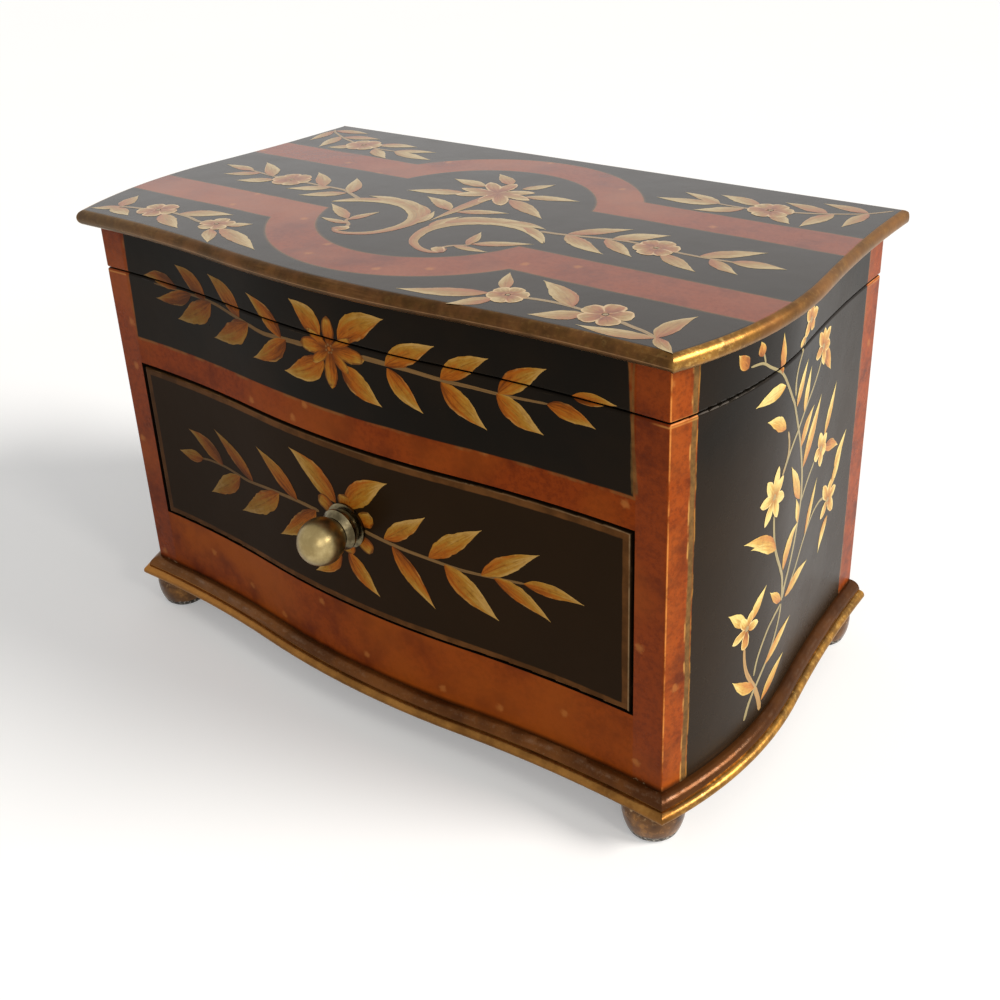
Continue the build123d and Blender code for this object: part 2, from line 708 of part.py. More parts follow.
pieces = {}
pieces |= base_pieces()
pieces |= case_shell_pieces()
pieces |= inner_case_pieces()
pieces |= lining_pieces()
pieces |= lid_pieces()
pieces |= drawer_pieces()

# The footprint runs from the front of the knob to the back edge of the lid.
knob_front = front_corner_y - front_bow - knob_reach - knob_ball_radius
footprint_middle = (knob_front + back_y + lid_overhang) / 2

grouped = {"foot_pads", "hinge_case_screws", "hinge_lid_screws", "hinge_pins", "mirror_frame",
           "drawer_wear_strips", "drawer_kickers", "drawer_stops", "ring_rolls"}
os.makedirs("parts", exist_ok=True)
for name, shape in pieces.items():
    if name not in grouped:
        shape = solid(shape)
    export_step(Pos(0, -footprint_middle, 0) * shape, f"parts/{name}.step")

print("case middle y", round(-footprint_middle, 3))
print("lid hinge y z", round(hinge_y - footprint_middle, 3), round(hinge_z, 3))
print("well", round(well_floor_top, 2), round(case_rim, 2), "inner x", inner_x,
      "inner y", round(inner_front_y - footprint_middle, 3), round(inner_back_y - footprint_middle, 3))
print("drawer low, side top, back end", round(drawer_low, 2), round(drawer_side_top, 2),
      round(drawer_back_end - footprint_middle, 3))
print("lid under, top", round(lid_under, 2), round(lid_top_level, 2), "pieces", len(pieces))
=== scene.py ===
import bpy
import bmesh
import math
from mathutils import Matrix, Vector, noise


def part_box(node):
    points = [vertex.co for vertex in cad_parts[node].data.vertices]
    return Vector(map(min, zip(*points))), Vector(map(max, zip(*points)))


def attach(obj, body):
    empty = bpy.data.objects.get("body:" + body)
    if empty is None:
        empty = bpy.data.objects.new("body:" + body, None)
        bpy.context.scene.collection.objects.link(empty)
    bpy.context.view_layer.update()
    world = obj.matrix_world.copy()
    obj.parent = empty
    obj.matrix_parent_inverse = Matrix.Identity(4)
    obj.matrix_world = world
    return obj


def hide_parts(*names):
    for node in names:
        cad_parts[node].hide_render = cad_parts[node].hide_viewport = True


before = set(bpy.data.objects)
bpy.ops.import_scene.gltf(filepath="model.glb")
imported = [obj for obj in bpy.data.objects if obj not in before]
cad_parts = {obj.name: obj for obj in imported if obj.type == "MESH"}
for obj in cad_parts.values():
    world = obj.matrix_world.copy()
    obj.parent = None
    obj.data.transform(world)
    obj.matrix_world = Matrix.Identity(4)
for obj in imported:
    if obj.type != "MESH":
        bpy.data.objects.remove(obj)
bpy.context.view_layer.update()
MM = 0.001


def level(node, end, axis=2):
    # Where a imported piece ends, low (0) or high (1), in millimetres.
    return round(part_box(node)[end][axis] / MM, 2)


# Sizes of the chest that the painting follows, in millimetres
WALL_BOTTOM = level("case_side_right", 0)
CASE_RIM = level("case_side_right", 1)
LID_RIM = level("lid_right", 0)
LID_UNDER = level("lid_top", 0)
LID_TOP = level("lid_top", 1)
SEAM = (CASE_RIM + LID_RIM) / 2
SEAM_ROUND = 0.9
KNOB_Z = (level("drawer_knob", 0) + level("drawer_knob", 1)) / 2
DRAWER_LOW = level("drawer_front", 0)
DRAWER_HIGH = level("drawer_front", 1)
DRAWER_HALF = level("drawer_front", 1, 0)
FRONT_WALL = 10.0
FRONT_CORNER_Y = level("drawer_front", 1, 1) - FRONT_WALL
DEPTH_SHIFT = -0.55    # from the depths in the brush strokes to the frame's
HALF_FRONT = 126.0
FRONT_BOW = 6.3
FRONT_DIP = 0.3
FLANK_RADIUS = 500.0
SIDE_BOW = 11.0
SIDE_BOW_INSET = 56.0
SIDE_WAIST = 7.3
SIDE_WAIST_INSET = 129.0

dip_inset = math.sqrt(2 * FLANK_RADIUS * FRONT_DIP - FRONT_DIP ** 2)
flank_x = HALF_FRONT - dip_inset
front_rise = FRONT_BOW + FRONT_DIP
BOW_RADIUS = (flank_x ** 2 + front_rise ** 2) / (2 * front_rise) - FLANK_RADIUS
BOW_CENTRE_Y = FRONT_CORNER_Y - FRONT_BOW + BOW_RADIUS
FLANK_CENTRE_Y = FRONT_CORNER_Y + FRONT_DIP - FLANK_RADIUS
SIDE_BOW_RADIUS = (SIDE_BOW_INSET ** 2 + SIDE_BOW ** 2) / (2 * SIDE_BOW)
side_fall = SIDE_BOW - SIDE_WAIST
side_run = SIDE_WAIST_INSET - SIDE_BOW_INSET
WAIST_RADIUS = (side_run ** 2 + side_fall ** 2) / (2 * side_fall) - SIDE_BOW_RADIUS
SIDE_BOW_CENTRE = (HALF_FRONT + SIDE_BOW - SIDE_BOW_RADIUS, FRONT_CORNER_Y + SIDE_BOW_INSET)
WAIST_CENTRE = (HALF_FRONT + SIDE_WAIST + WAIST_RADIUS, FRONT_CORNER_Y + SIDE_WAIST_INSET)


def front_y(x, off=0.0):
    x = abs(x)
    turn = flank_x * (BOW_RADIUS + off) / (BOW_RADIUS + FLANK_RADIUS)
    if x <= turn:
        return BOW_CENTRE_Y - math.sqrt((BOW_RADIUS + off) ** 2 - x * x)
    return FLANK_CENTRE_Y + math.sqrt((FLANK_RADIUS - off) ** 2 - (x - flank_x) ** 2)


def side_x(y, off=0.0):
    span = WAIST_CENTRE[1] - SIDE_BOW_CENTRE[1]
    turn = SIDE_BOW_CENTRE[1] + span * (SIDE_BOW_RADIUS + off) / (SIDE_BOW_RADIUS + WAIST_RADIUS)
    if y <= turn:
        rise = math.sqrt((SIDE_BOW_RADIUS + off) ** 2 - (y - SIDE_BOW_CENTRE[1]) ** 2)
        return SIDE_BOW_CENTRE[0] + rise
    return WAIST_CENTRE[0] - math.sqrt((WAIST_RADIUS - off) ** 2 - (y - WAIST_CENTRE[1]) ** 2)


def rim_inset(z):
    # How far the rounded rims beside the seam fall back from the wall face.
    if CASE_RIM - SEAM_ROUND < z <= SEAM:
        over = min(z - (CASE_RIM - SEAM_ROUND), SEAM_ROUND)
    elif SEAM < z < LID_RIM + SEAM_ROUND:
        over = min(LID_RIM + SEAM_ROUND - z, SEAM_ROUND)
    else:
        return 0.0
    return SEAM_ROUND - math.sqrt(SEAM_ROUND ** 2 - over ** 2)


def on_front(u, v, lift):
    return Vector((u, front_y(u, lift - rim_inset(v)), v)) * MM


def on_drawer(u, v, lift):
    return Vector((u, front_y(u, lift), v)) * MM


def on_side(way):
    # A place on the right side (way 1) or the left side (way -1).
    def place(u, v, lift):
        y = u + DEPTH_SHIFT
        return Vector((way * side_x(y, lift - rim_inset(v)), y, v)) * MM
    return place


def on_top(u, v, lift):
    return Vector((u, v + DEPTH_SHIFT, LID_TOP + lift)) * MM


class Value:
    """A number in a material's node tree. Arithmetic with it adds Math nodes."""

    def __init__(self, tree, socket):
        self.tree = tree
        self.socket = socket

    def __add__(self, other):
        return self.tree.math("ADD", self, other)

    def __radd__(self, other):
        return self.tree.math("ADD", other, self)

    def __sub__(self, other):
        return self.tree.math("SUBTRACT", self, other)

    def __rsub__(self, other):
        return self.tree.math("SUBTRACT", other, self)

    def __mul__(self, other):
        return self.tree.math("MULTIPLY", self, other)

    def __rmul__(self, other):
        return self.tree.math("MULTIPLY", other, self)

    def __abs__(self):
        return self.tree.math("ABSOLUTE", self)


class Tree:
    """A material's node tree, with short ways to add nodes."""

    def __init__(self, name, world=None):
        self.mat = world or bpy.data.materials.new(name)
        self.mat.use_nodes = True
        self.nodes = self.mat.node_tree.nodes
        self.links = self.mat.node_tree.links
        self.shader = self.nodes.get("Principled BSDF")
        self.coordinates = self.nodes.new("ShaderNodeTexCoord").outputs
        self.place = self.coordinates["Object"]

    def feed(self, socket, value):
        if isinstance(value, Value):
            value = value.socket
        if isinstance(value, bpy.types.NodeSocket):
            self.links.new(value, socket)
        elif isinstance(value, tuple) and len(value) == 3 and socket.type == "RGBA":
            socket.default_value = (*value, 1.0)
        else:
            socket.default_value = value

    def node(self, kind, **inputs):
        # A new node; an input's name is written with _ for a space.
        made = self.nodes.new("ShaderNode" + kind)
        for name, value in inputs.items():
            self.feed(made.inputs[name.replace("_", " ")], value)
        return made

    def set(self, **values):
        names = {"color": "Base Color", "metallic": "Metallic", "roughness": "Roughness",
                 "specular": "Specular IOR Level", "tint": "Specular Tint",
                 "sheen": "Sheen Weight", "sheen_roughness": "Sheen Roughness",
                 "sheen_tint": "Sheen Tint", "normal": "Normal"}
        for key, value in values.items():
            self.feed(self.shader.inputs[names[key]], value)
        return self.mat

    def split(self, vector):
        return [Value(self, part) for part in self.node("SeparateXYZ", Vector=vector).outputs]

    def axes(self):
        # The object's own coordinates in millimetres, with the depth that the strokes use.
        x, y, z = [part * (1 / MM) for part in self.split(self.place)]
        return x, y - DEPTH_SHIFT, z

    def facing(self):
        # The surface's own direction, in the object's coordinates.
        return self.split(self.coordinates["Normal"])

    def map(self, name):
        node = self.nodes.new("ShaderNodeUVMap")
        node.uv_map = name
        return self.split(node.outputs[0])[:2]

    def join(self, x, y, z=0.0):
        return self.node("CombineXYZ", X=x, Y=y, Z=z).outputs[0]

    def math(self, kind, a, b=0.0):
        node = self.nodes.new("ShaderNodeMath")
        node.operation = kind
        self.feed(node.inputs[0], a)
        self.feed(node.inputs[1], b)
        return Value(self, node.outputs[0])

    def most(self, a, b):
        return self.math("MAXIMUM", a, b)

    def least(self, a, b):
        return self.math("MINIMUM", a, b)

    def step(self, value, low, high):
        # 0 below low, 1 above high, smooth between; low may be above high.
        flip = low > high
        node = self.node("MapRange", From_Min=min(low, high), From_Max=max(low, high),
                         To_Min=1.0 if flip else 0.0, To_Max=0.0 if flip else 1.0)
        node.interpolation_type = "SMOOTHSTEP"
        self.feed(node.inputs["Value"], value)
        return Value(self, node.outputs["Result"])

    def noise(self, scale, detail=3.0, rough=0.55, vector=None, twist=0.0):
        node = self.node("TexNoise", Vector=vector or self.place, Scale=scale, Detail=detail,
                         Roughness=rough, Distortion=twist)
        return Value(self, node.outputs["Fac"])

    def patch(self, low, high, *args):
        # Soft-edged patches of noise.
        return self.step(self.noise(*args), low, high)

    def cells(self, scale, vector=None, spread=1.0, flat=False):
        # Distance to the middle of the nearest cell.
        node = self.node("TexVoronoi", Vector=vector or self.place, Scale=scale, Randomness=spread)
        node.voronoi_dimensions = "2D" if flat else "3D"
        return Value(self, node.outputs["Distance"])

    def stretch(self, x, y, z):
        return self.node("Mapping", Vector=self.place, Scale=(x, y, z)).outputs[0]

    def mix(self, factor, a, b):
        node = self.nodes.new("ShaderNodeMix")
        node.data_type = "RGBA"
        for index, value in ((0, factor), (6, a), (7, b)):
            self.feed(node.inputs[index], value)
        return node.outputs[2]

    def ramp(self, factor, *stops):
        node = self.node("ValToRGB", Fac=factor)
        band = node.color_ramp
        while len(band.elements) < len(stops):
            band.elements.new(0.5)
        for element, (at, colour) in zip(band.elements, stops):
            element.position = at
            element.color = (*colour, 1.0)
        return node.outputs[0]

    def bump(self, height, strength=0.3, distance=0.0005):
        return self.node("Bump", Strength=strength, Distance=distance, Height=height).outputs[0]

    def blend(self, kind, first, second, **inputs):
        # Two shaders in one; kind is MixShader or AddShader.
        made = self.node(kind, **inputs)
        sockets = [socket for socket in made.inputs if socket.type == "SHADER"]
        for socket, part in zip(sockets, (first, second)):
            self.links.new(part.outputs[0], socket)
        return made

    def seen(self):
        # 1 where the camera sees the surface, or sees it in a mirror or through glass.
        path = self.node("LightPath").outputs
        return self.most(path["Is Camera Ray"],
                         self.most(path["Is Glossy Ray"], path["Is Transmission Ray"]))


# Paint colours, linear
BLACK = (0.0065, 0.0050, 0.0035)
BLACK_WARM = (0.0115, 0.0070, 0.0038)
RED = (0.215, 0.034, 0.0030)
RED_DEEP = (0.092, 0.0125, 0.0014)
RED_SIDE = (0.285, 0.050, 0.0045)
RED_TOP = (0.250, 0.060, 0.025)
RED_TOP_DEEP = (0.160, 0.034, 0.015)
ORANGE_SPOT = (0.50, 0.19, 0.045)
GOLD = (0.44, 0.212, 0.040)
GOLD_PALE = (0.78, 0.52, 0.17)
GOLD_DULL = (0.19, 0.095, 0.026)
GILT_SHADE = (0.105, 0.055, 0.016)
BROWN = (0.040, 0.017, 0.006)
WORN = (0.42, 0.28, 0.15)
NO_LIGHT = (0.004, 0.003, 0.002)
# Painted shade: near-black for the faces inside the gap round the drawer
GAP_SHADE = (0.007, 0.0045, 0.003)
# Painted shade where the walls meet the base moulding
JOIN_SHADE = (0.010, 0.006, 0.003)

# Where the painted lines run, in millimetres
FRONT_PANEL_HALF = 113.4       # half the black panel's width at the front
FRONT_PANEL_FOOT = 129.4
FRONT_LINE = 113.6             # dull gilt line beside the front panel
SIDE_PANEL_FRONT = -52.4
SIDE_PANEL_BACK = 71.6
SIDE_LINE = -53.1              # dull gilt line beside the side panel
POST_REVEAL = 116.2            # the posts are painted near-black within this, beside the drawer: painted shade in its gap
RING_LEFT = 3.0                # the lid's ring lies this far left of the chest's middle
RING_INNER = 47.2
RING_OUTER = 65.0
FRONT_STRAP = (-35.4, -15.6)   # the red straps' edges on the lid, front to back
BACK_STRAP = (31.0, 50.0)
RING_CENTRES = (-0.5, 16.5)    # middle of the ring's front half and of its back half


def black_paint(t):
    cloud = t.noise(28, 3)
    fleck = t.cells(620)
    colour = t.mix(t.step(cloud, 0.35, 0.7), BLACK, BLACK_WARM)
    dust = t.step(fleck, 0.080, 0.03) * t.patch(0.60, 0.72, 60, 2)
    return t.mix(dust * 0.25, colour, (0.30, 0.24, 0.16))


def red_paint(t, bright, deep, flat_place):
    # Mottled red-brown with soft lighter spots, as thin glaze over a lighter ground.
    cloud = t.noise(60, 5, 0.65)
    fine = t.noise(520, 4, 0.75)
    colour = t.mix(t.step(cloud, 0.28, 0.58), deep, bright)
    colour = t.mix(t.step(fine, 0.42, 0.66) * 0.50, colour, deep)
    wide = t.noise(17, 2)
    lively = tuple(min(1.0, c * f) for c, f in zip(bright, (1.30, 1.75, 1.8)))
    colour = t.mix(t.step(wide, 0.48, 0.70) * 0.60, colour, lively)
    spot = t.cells(0.040, flat_place, spread=0.85, flat=True)
    wobble = (t.noise(600, 3) - 0.5) * 0.10
    spot = t.step(spot + wobble, 0.085, 0.02)
    return t.mix(spot * 0.42, colour, ORANGE_SPOT)


def gilt_paint(t, worn=0.5):
    cloud = t.noise(130, 5, 0.7)
    fine = t.noise(520, 3, 0.7)
    colour = t.mix(t.step(cloud, 0.38, 0.70), GOLD_DULL, GOLD)
    colour = t.mix(t.step(fine, 0.52, 0.76) * 0.5, colour, GOLD_PALE)
    bare = t.step(t.noise(260, 6, 0.75), worn + 0.06, worn + 0.14) * 0.85
    return t.mix(bare, colour, BROWN)


def wander(t, size=0.45):
    # A hand-painted edge strays this many millimetres, in slow and quick swings.
    slow = (t.noise(26, 2) - 0.5) * (2.6 * size)
    quick = (t.noise(240, 2) - 0.5) * (0.9 * size)
    return slow + quick


def lacquer_bump(t, strength=0.12):
    height = t.noise(90, 2) + t.noise(1500, 2) * 0.10
    return t.bump(height, strength, 0.0006)


def line(t, value, at, half, soft=0.25):
    # 1 up to half a line's width away from a level, soft at its edges.
    return t.step(abs(value - at), half + soft, max(half - soft, 0.0))


def arris_wear(t, gap, reach=0.7, amount=0.75, size=420):
    # Broken pale wear along an edge; gap is the distance to the edge.
    near = t.step(gap, reach, 0.0)
    patch = t.step(t.noise(size, 5, 0.75) + near * 0.16, 0.58, 0.66)
    return near * patch * amount


def seam_shade_and_wear(t, colour, z):
    # Painted shade on the joint faces beside the seam, and a little broken wear on its lower edge.
    seam_gap = abs(z - SEAM)
    colour = t.mix(t.step(seam_gap, 0.42, 0.22), colour, NO_LIGHT)
    below = t.step(z - SEAM, 0.0, -0.2)
    chips = arris_wear(t, abs(seam_gap - 0.95), 0.35, 0.28, 1100)
    chips = chips * t.patch(0.50, 0.66, 45, 2)
    return t.mix(chips * (below * 0.30 + 0.05), colour, WORN)


def side_gilt(t, colour, y, amount=1.0):
    # Between the red corner strip and the black panel: a dull gilt line with a pale worn edge.
    edge = y + wander(t, 0.55)
    band = line(t, edge, SIDE_LINE, 0.95, 0.35) * amount
    dull = t.mix(t.patch(0.36, 0.66, 380, 4, 0.7), GILT_SHADE, GOLD_DULL)
    colour = t.mix(band, colour, dull)
    bright = line(t, edge, SIDE_LINE - 1.2, 0.20, 0.3) * t.patch(0.44, 0.56, 70, 4)
    colour = t.mix(bright * (amount * 0.65), colour, (0.60, 0.33, 0.085))
    thin = line(t, edge, SIDE_LINE + 1.2, 0.12, 0.25) * t.patch(0.42, 0.60, 130, 4)
    return t.mix(thin * (amount * 0.7), colour, GOLD)


def front_gilt(t, colour, x, z, amount=1.0):
    # A dull gilt line between the black panel and the right post, wider towards its foot.
    wide = 0.7 + t.step(z, 156, 132) * 1.5
    away = x + wander(t, 0.8) - FRONT_LINE
    band = t.step(away, -0.35, 0.1) * t.step(wide - away, -0.3, 0.3)
    band = band * (t.step(z, 129.5, 131.5) * (amount * 0.62))
    dull = t.mix(t.patch(0.36, 0.66, 300, 4, 0.7), GILT_SHADE, GOLD_DULL)
    return t.mix(band, colour, dull)


def wall_paint(name, side):
    """Paint of the case and lid walls, by place: black panels, red borders, gilt lines."""
    t = Tree(name)
    x, y, z = t.axes()
    drift = wander(t)
    red = red_paint(t, RED_SIDE if side else RED, RED_DEEP, t.join(y if side else x, z))
    black = black_paint(t)
    if side:
        black = t.mix(t.step(z, 150, 105) * 0.55, black, (0.0230, 0.0125, 0.0050))
        edge = y + drift
        panel_gap = t.least(edge - SIDE_PANEL_FRONT, SIDE_PANEL_BACK - edge)
    else:
        # The border leans out a little from the top to the bottom.
        lean = (z - 150) * -0.045
        side_edge = FRONT_PANEL_HALF + lean + drift - abs(x)
        panel_gap = t.least(side_edge, z + drift * 0.8 - FRONT_PANEL_FOOT)
    in_panel = t.step(panel_gap, -0.2, 0.25)
    if not side:
        # The bottom rail is lighter and more orange, most of all on the left.
        low_rail = t.step(z, 58, 46) * t.patch(0.30, 0.62, 30, 3)
        glow = 0.22 + t.step(x, 20, -100) * 0.30
        red = t.mix(low_rail * glow, red, (0.34, 0.080, 0.0040))
    colour = t.mix(in_panel, red, black)
    rim = t.step(abs(panel_gap + 0.4), 0.9, 0.2) * t.patch(0.40, 0.62, 120, 4)
    colour = t.mix(rim * 0.5, colour, GOLD_DULL)
    colour = side_gilt(t, colour, y) if side else front_gilt(t, colour, x, z)
    colour = seam_shade_and_wear(t, colour, z)
    # The rails' edges over and under the drawer are painted near-black: painted shade in the gap
    # round the drawer.
    over = t.step(z, DRAWER_LOW - 8.5, DRAWER_LOW - 4.5)
    beside_drawer = over * t.step(z, DRAWER_HIGH + 9.6, DRAWER_HIGH + 5.6)
    painted_gap_shade = t.step(abs(t.facing()[2]), 0.90, 0.97) * beside_drawer
    colour = t.mix(painted_gap_shade, colour, GAP_SHADE)
    # Painted shade where the walls meet the base moulding.
    join_shade_mask = t.step(z, WALL_BOTTOM + 2.2, WALL_BOTTOM) * 0.75
    colour = t.mix(join_shade_mask, colour, JOIN_SHADE)
    gloss = t.noise(70, 4) * 0.14 + (0.20 if side else 0.24)
    return t.set(color=colour, roughness=gloss, specular=0.095 if side else 0.04,
                 normal=lacquer_bump(t), tint=(1.0, 0.85, 0.70))


def lid_top_paint():
    """The lid's top: grey-black ground, two red straps that run round a middle ring, gilt edge."""
    t = Tree("lid_top_paint")
    x, y, z = t.axes()
    drift = wander(t, 0.55)
    dx = x + RING_LEFT + drift * 0.6

    def strap_and_half_ring(low, high, centre, past_strap):
        # How far a place is inside a strap, or inside the half ring that leaves it.
        dy = y - centre
        reach = t.math("SQRT", dx * dx + dy * dy)
        strap = t.least(y + drift - low, high - (y - drift))
        ring = t.least(RING_OUTER - reach, past_strap)
        return t.least(t.most(strap, ring), reach - RING_INNER)

    strap = t.most(strap_and_half_ring(*FRONT_STRAP, RING_CENTRES[0], FRONT_STRAP[1] - y),
                   strap_and_half_ring(*BACK_STRAP, RING_CENTRES[1], y - BACK_STRAP[0]))
    in_red = t.step(strap, -0.35, 0.35)
    red = red_paint(t, RED_TOP, RED_TOP_DEEP, t.join(x, y))
    ground = t.mix(0.55, black_paint(t), (0.0290, 0.0195, 0.0120))
    colour = t.mix(in_red, ground, red)
    rim = t.step(abs(strap + 0.1), 0.9, 0.1)
    colour = t.mix(rim * 0.35, colour, GOLD_DULL)
    # The rounded edge is gilt; its lower half is more worn, and at its front the gilt is painted
    # dull brown.
    edge = LID_TOP - 0.035 - (z + drift * 0.10)
    in_gilt = t.step(edge, -0.02, 0.03) * t.step(t.facing()[2], 0.998, 0.985)
    front = t.step(y, -56, -70) * t.step(abs(x), HALF_FRONT + 6.0, HALF_FRONT + 2.0)
    gold = gilt_paint(t, 0.54)
    # Painted highlight: on the sides the gilt stays bright gold near the front corners and is
    # painted darker umber further back.
    far = t.step(y, -60, -28) * 0.74
    umber = t.mix(t.patch(0.3, 0.7, 60, 4), (0.090, 0.036, 0.010), (0.215, 0.086, 0.024))
    gold = t.mix(far, gold, umber)
    dull = t.mix(t.patch(0.35, 0.68, 70, 4, 0.7), (0.034, 0.0150, 0.0055),
                 (0.098, 0.039, 0.0135))
    brush = t.step(t.noise(1.0, 3, 0.7, vector=t.stretch(30, 500, 500)), 0.52, 0.70)
    dull = t.mix(brush * 0.4, dull, (0.150, 0.068, 0.025))
    # Two thin pale lines along the front of the gilt edge: painted highlight lines, partly worn
    # arrises.
    thin = t.most(line(t, z, LID_UNDER + 2.3, 0.12, 0.16),
                  line(t, z, LID_UNDER + 0.75, 0.12, 0.16))
    thin = thin * t.patch(0.30, 0.52, 45, 4, 0.7)
    dull = t.mix(thin * 0.55, dull, (0.34, 0.19, 0.095))
    dull = t.mix(t.step(x, -60, -125) * 0.7, dull, (0.050, 0.040, 0.030))
    colour = t.mix(in_gilt, colour, t.mix(front * 0.92, gold, dull))
    low = t.step(z, LID_UNDER + 1.2, LID_UNDER + 0.4)
    pale = low * t.patch(0.42, 0.60, 350, 4)
    colour = t.mix(pale * (0.60 - front * 0.45), colour, (0.50, 0.32, 0.14))
    under = t.step(z, LID_UNDER + 0.25, LID_UNDER + 0.05)
    colour = t.mix(under, colour, (0.02, 0.011, 0.006))
    metal = in_gilt * (1.0 - under) * 0.92
    gloss = t.noise(60, 4) * 0.14 + 0.16 + in_gilt * 0.10
    height = t.noise(90, 2) + in_gilt * (t.noise(900, 3) * 0.45)
    return t.set(color=colour, metallic=metal, roughness=gloss, specular=0.29,
                 normal=t.bump(height, 0.14, 0.0006), tint=(1.0, 0.92, 0.82))


def drawer_front_paint():
    t = Tree("drawer_front_paint")
    x, y, z = t.axes()
    drift = wander(t, 0.4)
    gap = t.least(DRAWER_HALF - abs(x), t.least(DRAWER_HIGH - z, z - DRAWER_LOW))
    inner = gap + drift
    band = t.step(inner, 3.0, 2.6) * t.step(gap, 0.15, 0.45)
    left_fade = 0.55 + t.step(x, -110, -60) * 0.45
    brown = t.mix(t.patch(0.35, 0.65, 110, 4), (0.066, 0.026, 0.007),
                  (0.120, 0.047, 0.013))
    black = t.mix(0.65, black_paint(t), (0.0215, 0.0098, 0.0030))
    colour = t.mix(band * left_fade, black, brown)
    wear = arris_wear(t, gap, 0.7, 0.3, 800) * t.patch(0.50, 0.66, 40, 2)
    upright = t.step(abs(t.facing()[2]), 0.90, 0.60)
    colour = t.mix(wear * upright, colour, WORN)
    # The right and top arrises are rubbed to a thin pale line, broken in places.
    rubbed = line(t, gap, 0.45, 0.12, 0.2) * t.patch(0.34, 0.60, 60, 4, 0.7)
    rubbed = rubbed * t.most(t.step(x, 60, 112), t.step(z, 110, 116) * 0.4)
    colour = t.mix(rubbed * upright * 0.45, colour, (0.42, 0.29, 0.16))
    back = t.step(y, -54, -52.5)
    colour = t.mix(back, colour, (0.30, 0.17, 0.08))
    gloss = t.noise(70, 4) * 0.16 + 0.25
    return t.set(color=colour, roughness=gloss, specular=0.028, normal=lacquer_bump(t),
                 tint=(1.0, 0.80, 0.56))


def moulding_paint():
    t = Tree("base_moulding_paint")
    x, y, z = t.axes()
    front = t.step(y, -56, -66)
    in_gilt = t.step(z + wander(t, 0.3) * 0.7, 18.75, 18.45)
    gold = gilt_paint(t, 0.55)
    dull = t.mix(t.patch(0.32, 0.70, 75, 4, 0.6), (0.125, 0.050, 0.012),
                 (0.260, 0.118, 0.028))
    ruddy = t.step(x, 10, -110) * 0.75
    dull = t.mix(ruddy, dull, (0.33, 0.135, 0.030))
    gold = t.mix(front * 0.86, gold, dull)
    bead = t.mix(t.patch(0.32, 0.70, 50, 4), (0.060, 0.0185, 0.0040),
                 (0.150, 0.050, 0.0100))
    bead = t.mix(front * ruddy * 0.55, bead, (0.20, 0.078, 0.018))
    fleck = t.patch(0.60, 0.70, 1100, 3, 0.7)
    # Painted highlight: pale broken specks along the bead's crest.
    crest = line(t, z, 20.7, 0.25, 0.4) * t.patch(0.44, 0.66, 260, 5, 0.75)
    bead = t.mix(fleck * 0.16, bead, (0.36, 0.24, 0.13))
    bead = t.mix(crest * 0.16, bead, (0.40, 0.29, 0.20))
    bead = t.mix((1.0 - front) * 0.45, bead, (0.030, 0.0105, 0.0032))
    colour = t.mix(in_gilt, bead, gold)
    # Painted shade in the groove between the bead and the nosing.
    dark = line(t, z, 18.35, 0.22, 0.2)
    colour = t.mix(dark * 0.5, colour, (0.022, 0.010, 0.004))
    low = t.step(z, 14.9, 14.2)
    colour = t.mix(low * 0.7, colour, (0.05, 0.022, 0.010))
    metal = 0.40 + in_gilt * (1.0 - low) * 0.50
    gloss = t.noise(300, 4, 0.7) * 0.18 + (0.14 + in_gilt * 0.10)
    height = t.noise(160, 3) + t.noise(1300, 3) * 0.3
    return t.set(color=colour, metallic=metal, roughness=gloss, specular=0.13,
                 normal=t.bump(height, 0.35, 0.0005), tint=(1.0, 0.86, 0.72))


def foot_paint():
    t = Tree("foot_paint")
    z = t.axes()[2]
    colour = t.ramp(t.noise(130, 4, 0.65), (0.30, (0.045, 0.018, 0.006)),
                    (0.55, (0.150, 0.066, 0.020)), (0.75, (0.36, 0.165, 0.040)))
    # Painted shade: the foot's top, under the moulding, is painted near-black.
    colour = t.mix(t.step(z, 11.5, 14.0) * 0.7, colour, (0.016, 0.008, 0.004))
    low = t.step(z + (t.noise(300, 3) - 0.5) * 2.0, 3.2, 2.2)
    colour = t.mix(low, colour, (0.020, 0.014, 0.010))
    speck = t.patch(0.50, 0.60, 1000, 3, 0.7)
    colour = t.mix(speck * low * 0.80, colour, (0.52, 0.48, 0.41))
    rubbed = t.step(z, 9.0, 11.5) * t.patch(0.56, 0.64, 700, 4, 0.75)
    colour = t.mix(rubbed * 0.55, colour, (0.62, 0.42, 0.22))
    gloss = t.noise(260, 4) * 0.25 + (0.12 + low * 0.3)
    return t.set(color=colour, metallic=0.35, roughness=gloss, specular=0.25,
                 normal=t.bump(t.noise(350, 3), 0.25, 0.0006))


def back_paint():
    t = Tree("back_paint")
    cloud = t.noise(40, 5, 0.6)
    brush = t.noise(1.0, 4, 0.6, vector=t.stretch(20, 160, 260))
    colour = t.mix(t.step(cloud, 0.35, 0.7), (0.020, 0.012, 0.008), (0.046, 0.020, 0.010))
    colour = t.mix(t.step(brush, 0.5, 0.72) * 0.35, colour, (0.075, 0.034, 0.018))
    seam_gap = abs(t.axes()[2] - SEAM)
    upright = t.step(abs(t.facing()[2]), 0.90, 0.60)
    colour = t.mix(arris_wear(t, seam_gap, 1.4, 0.5) * upright, colour, (0.34, 0.22, 0.12))
    return t.set(color=colour, roughness=0.34 + brush * 0.2, specular=0.4,
                 normal=t.bump(brush, 0.15, 0.0005))


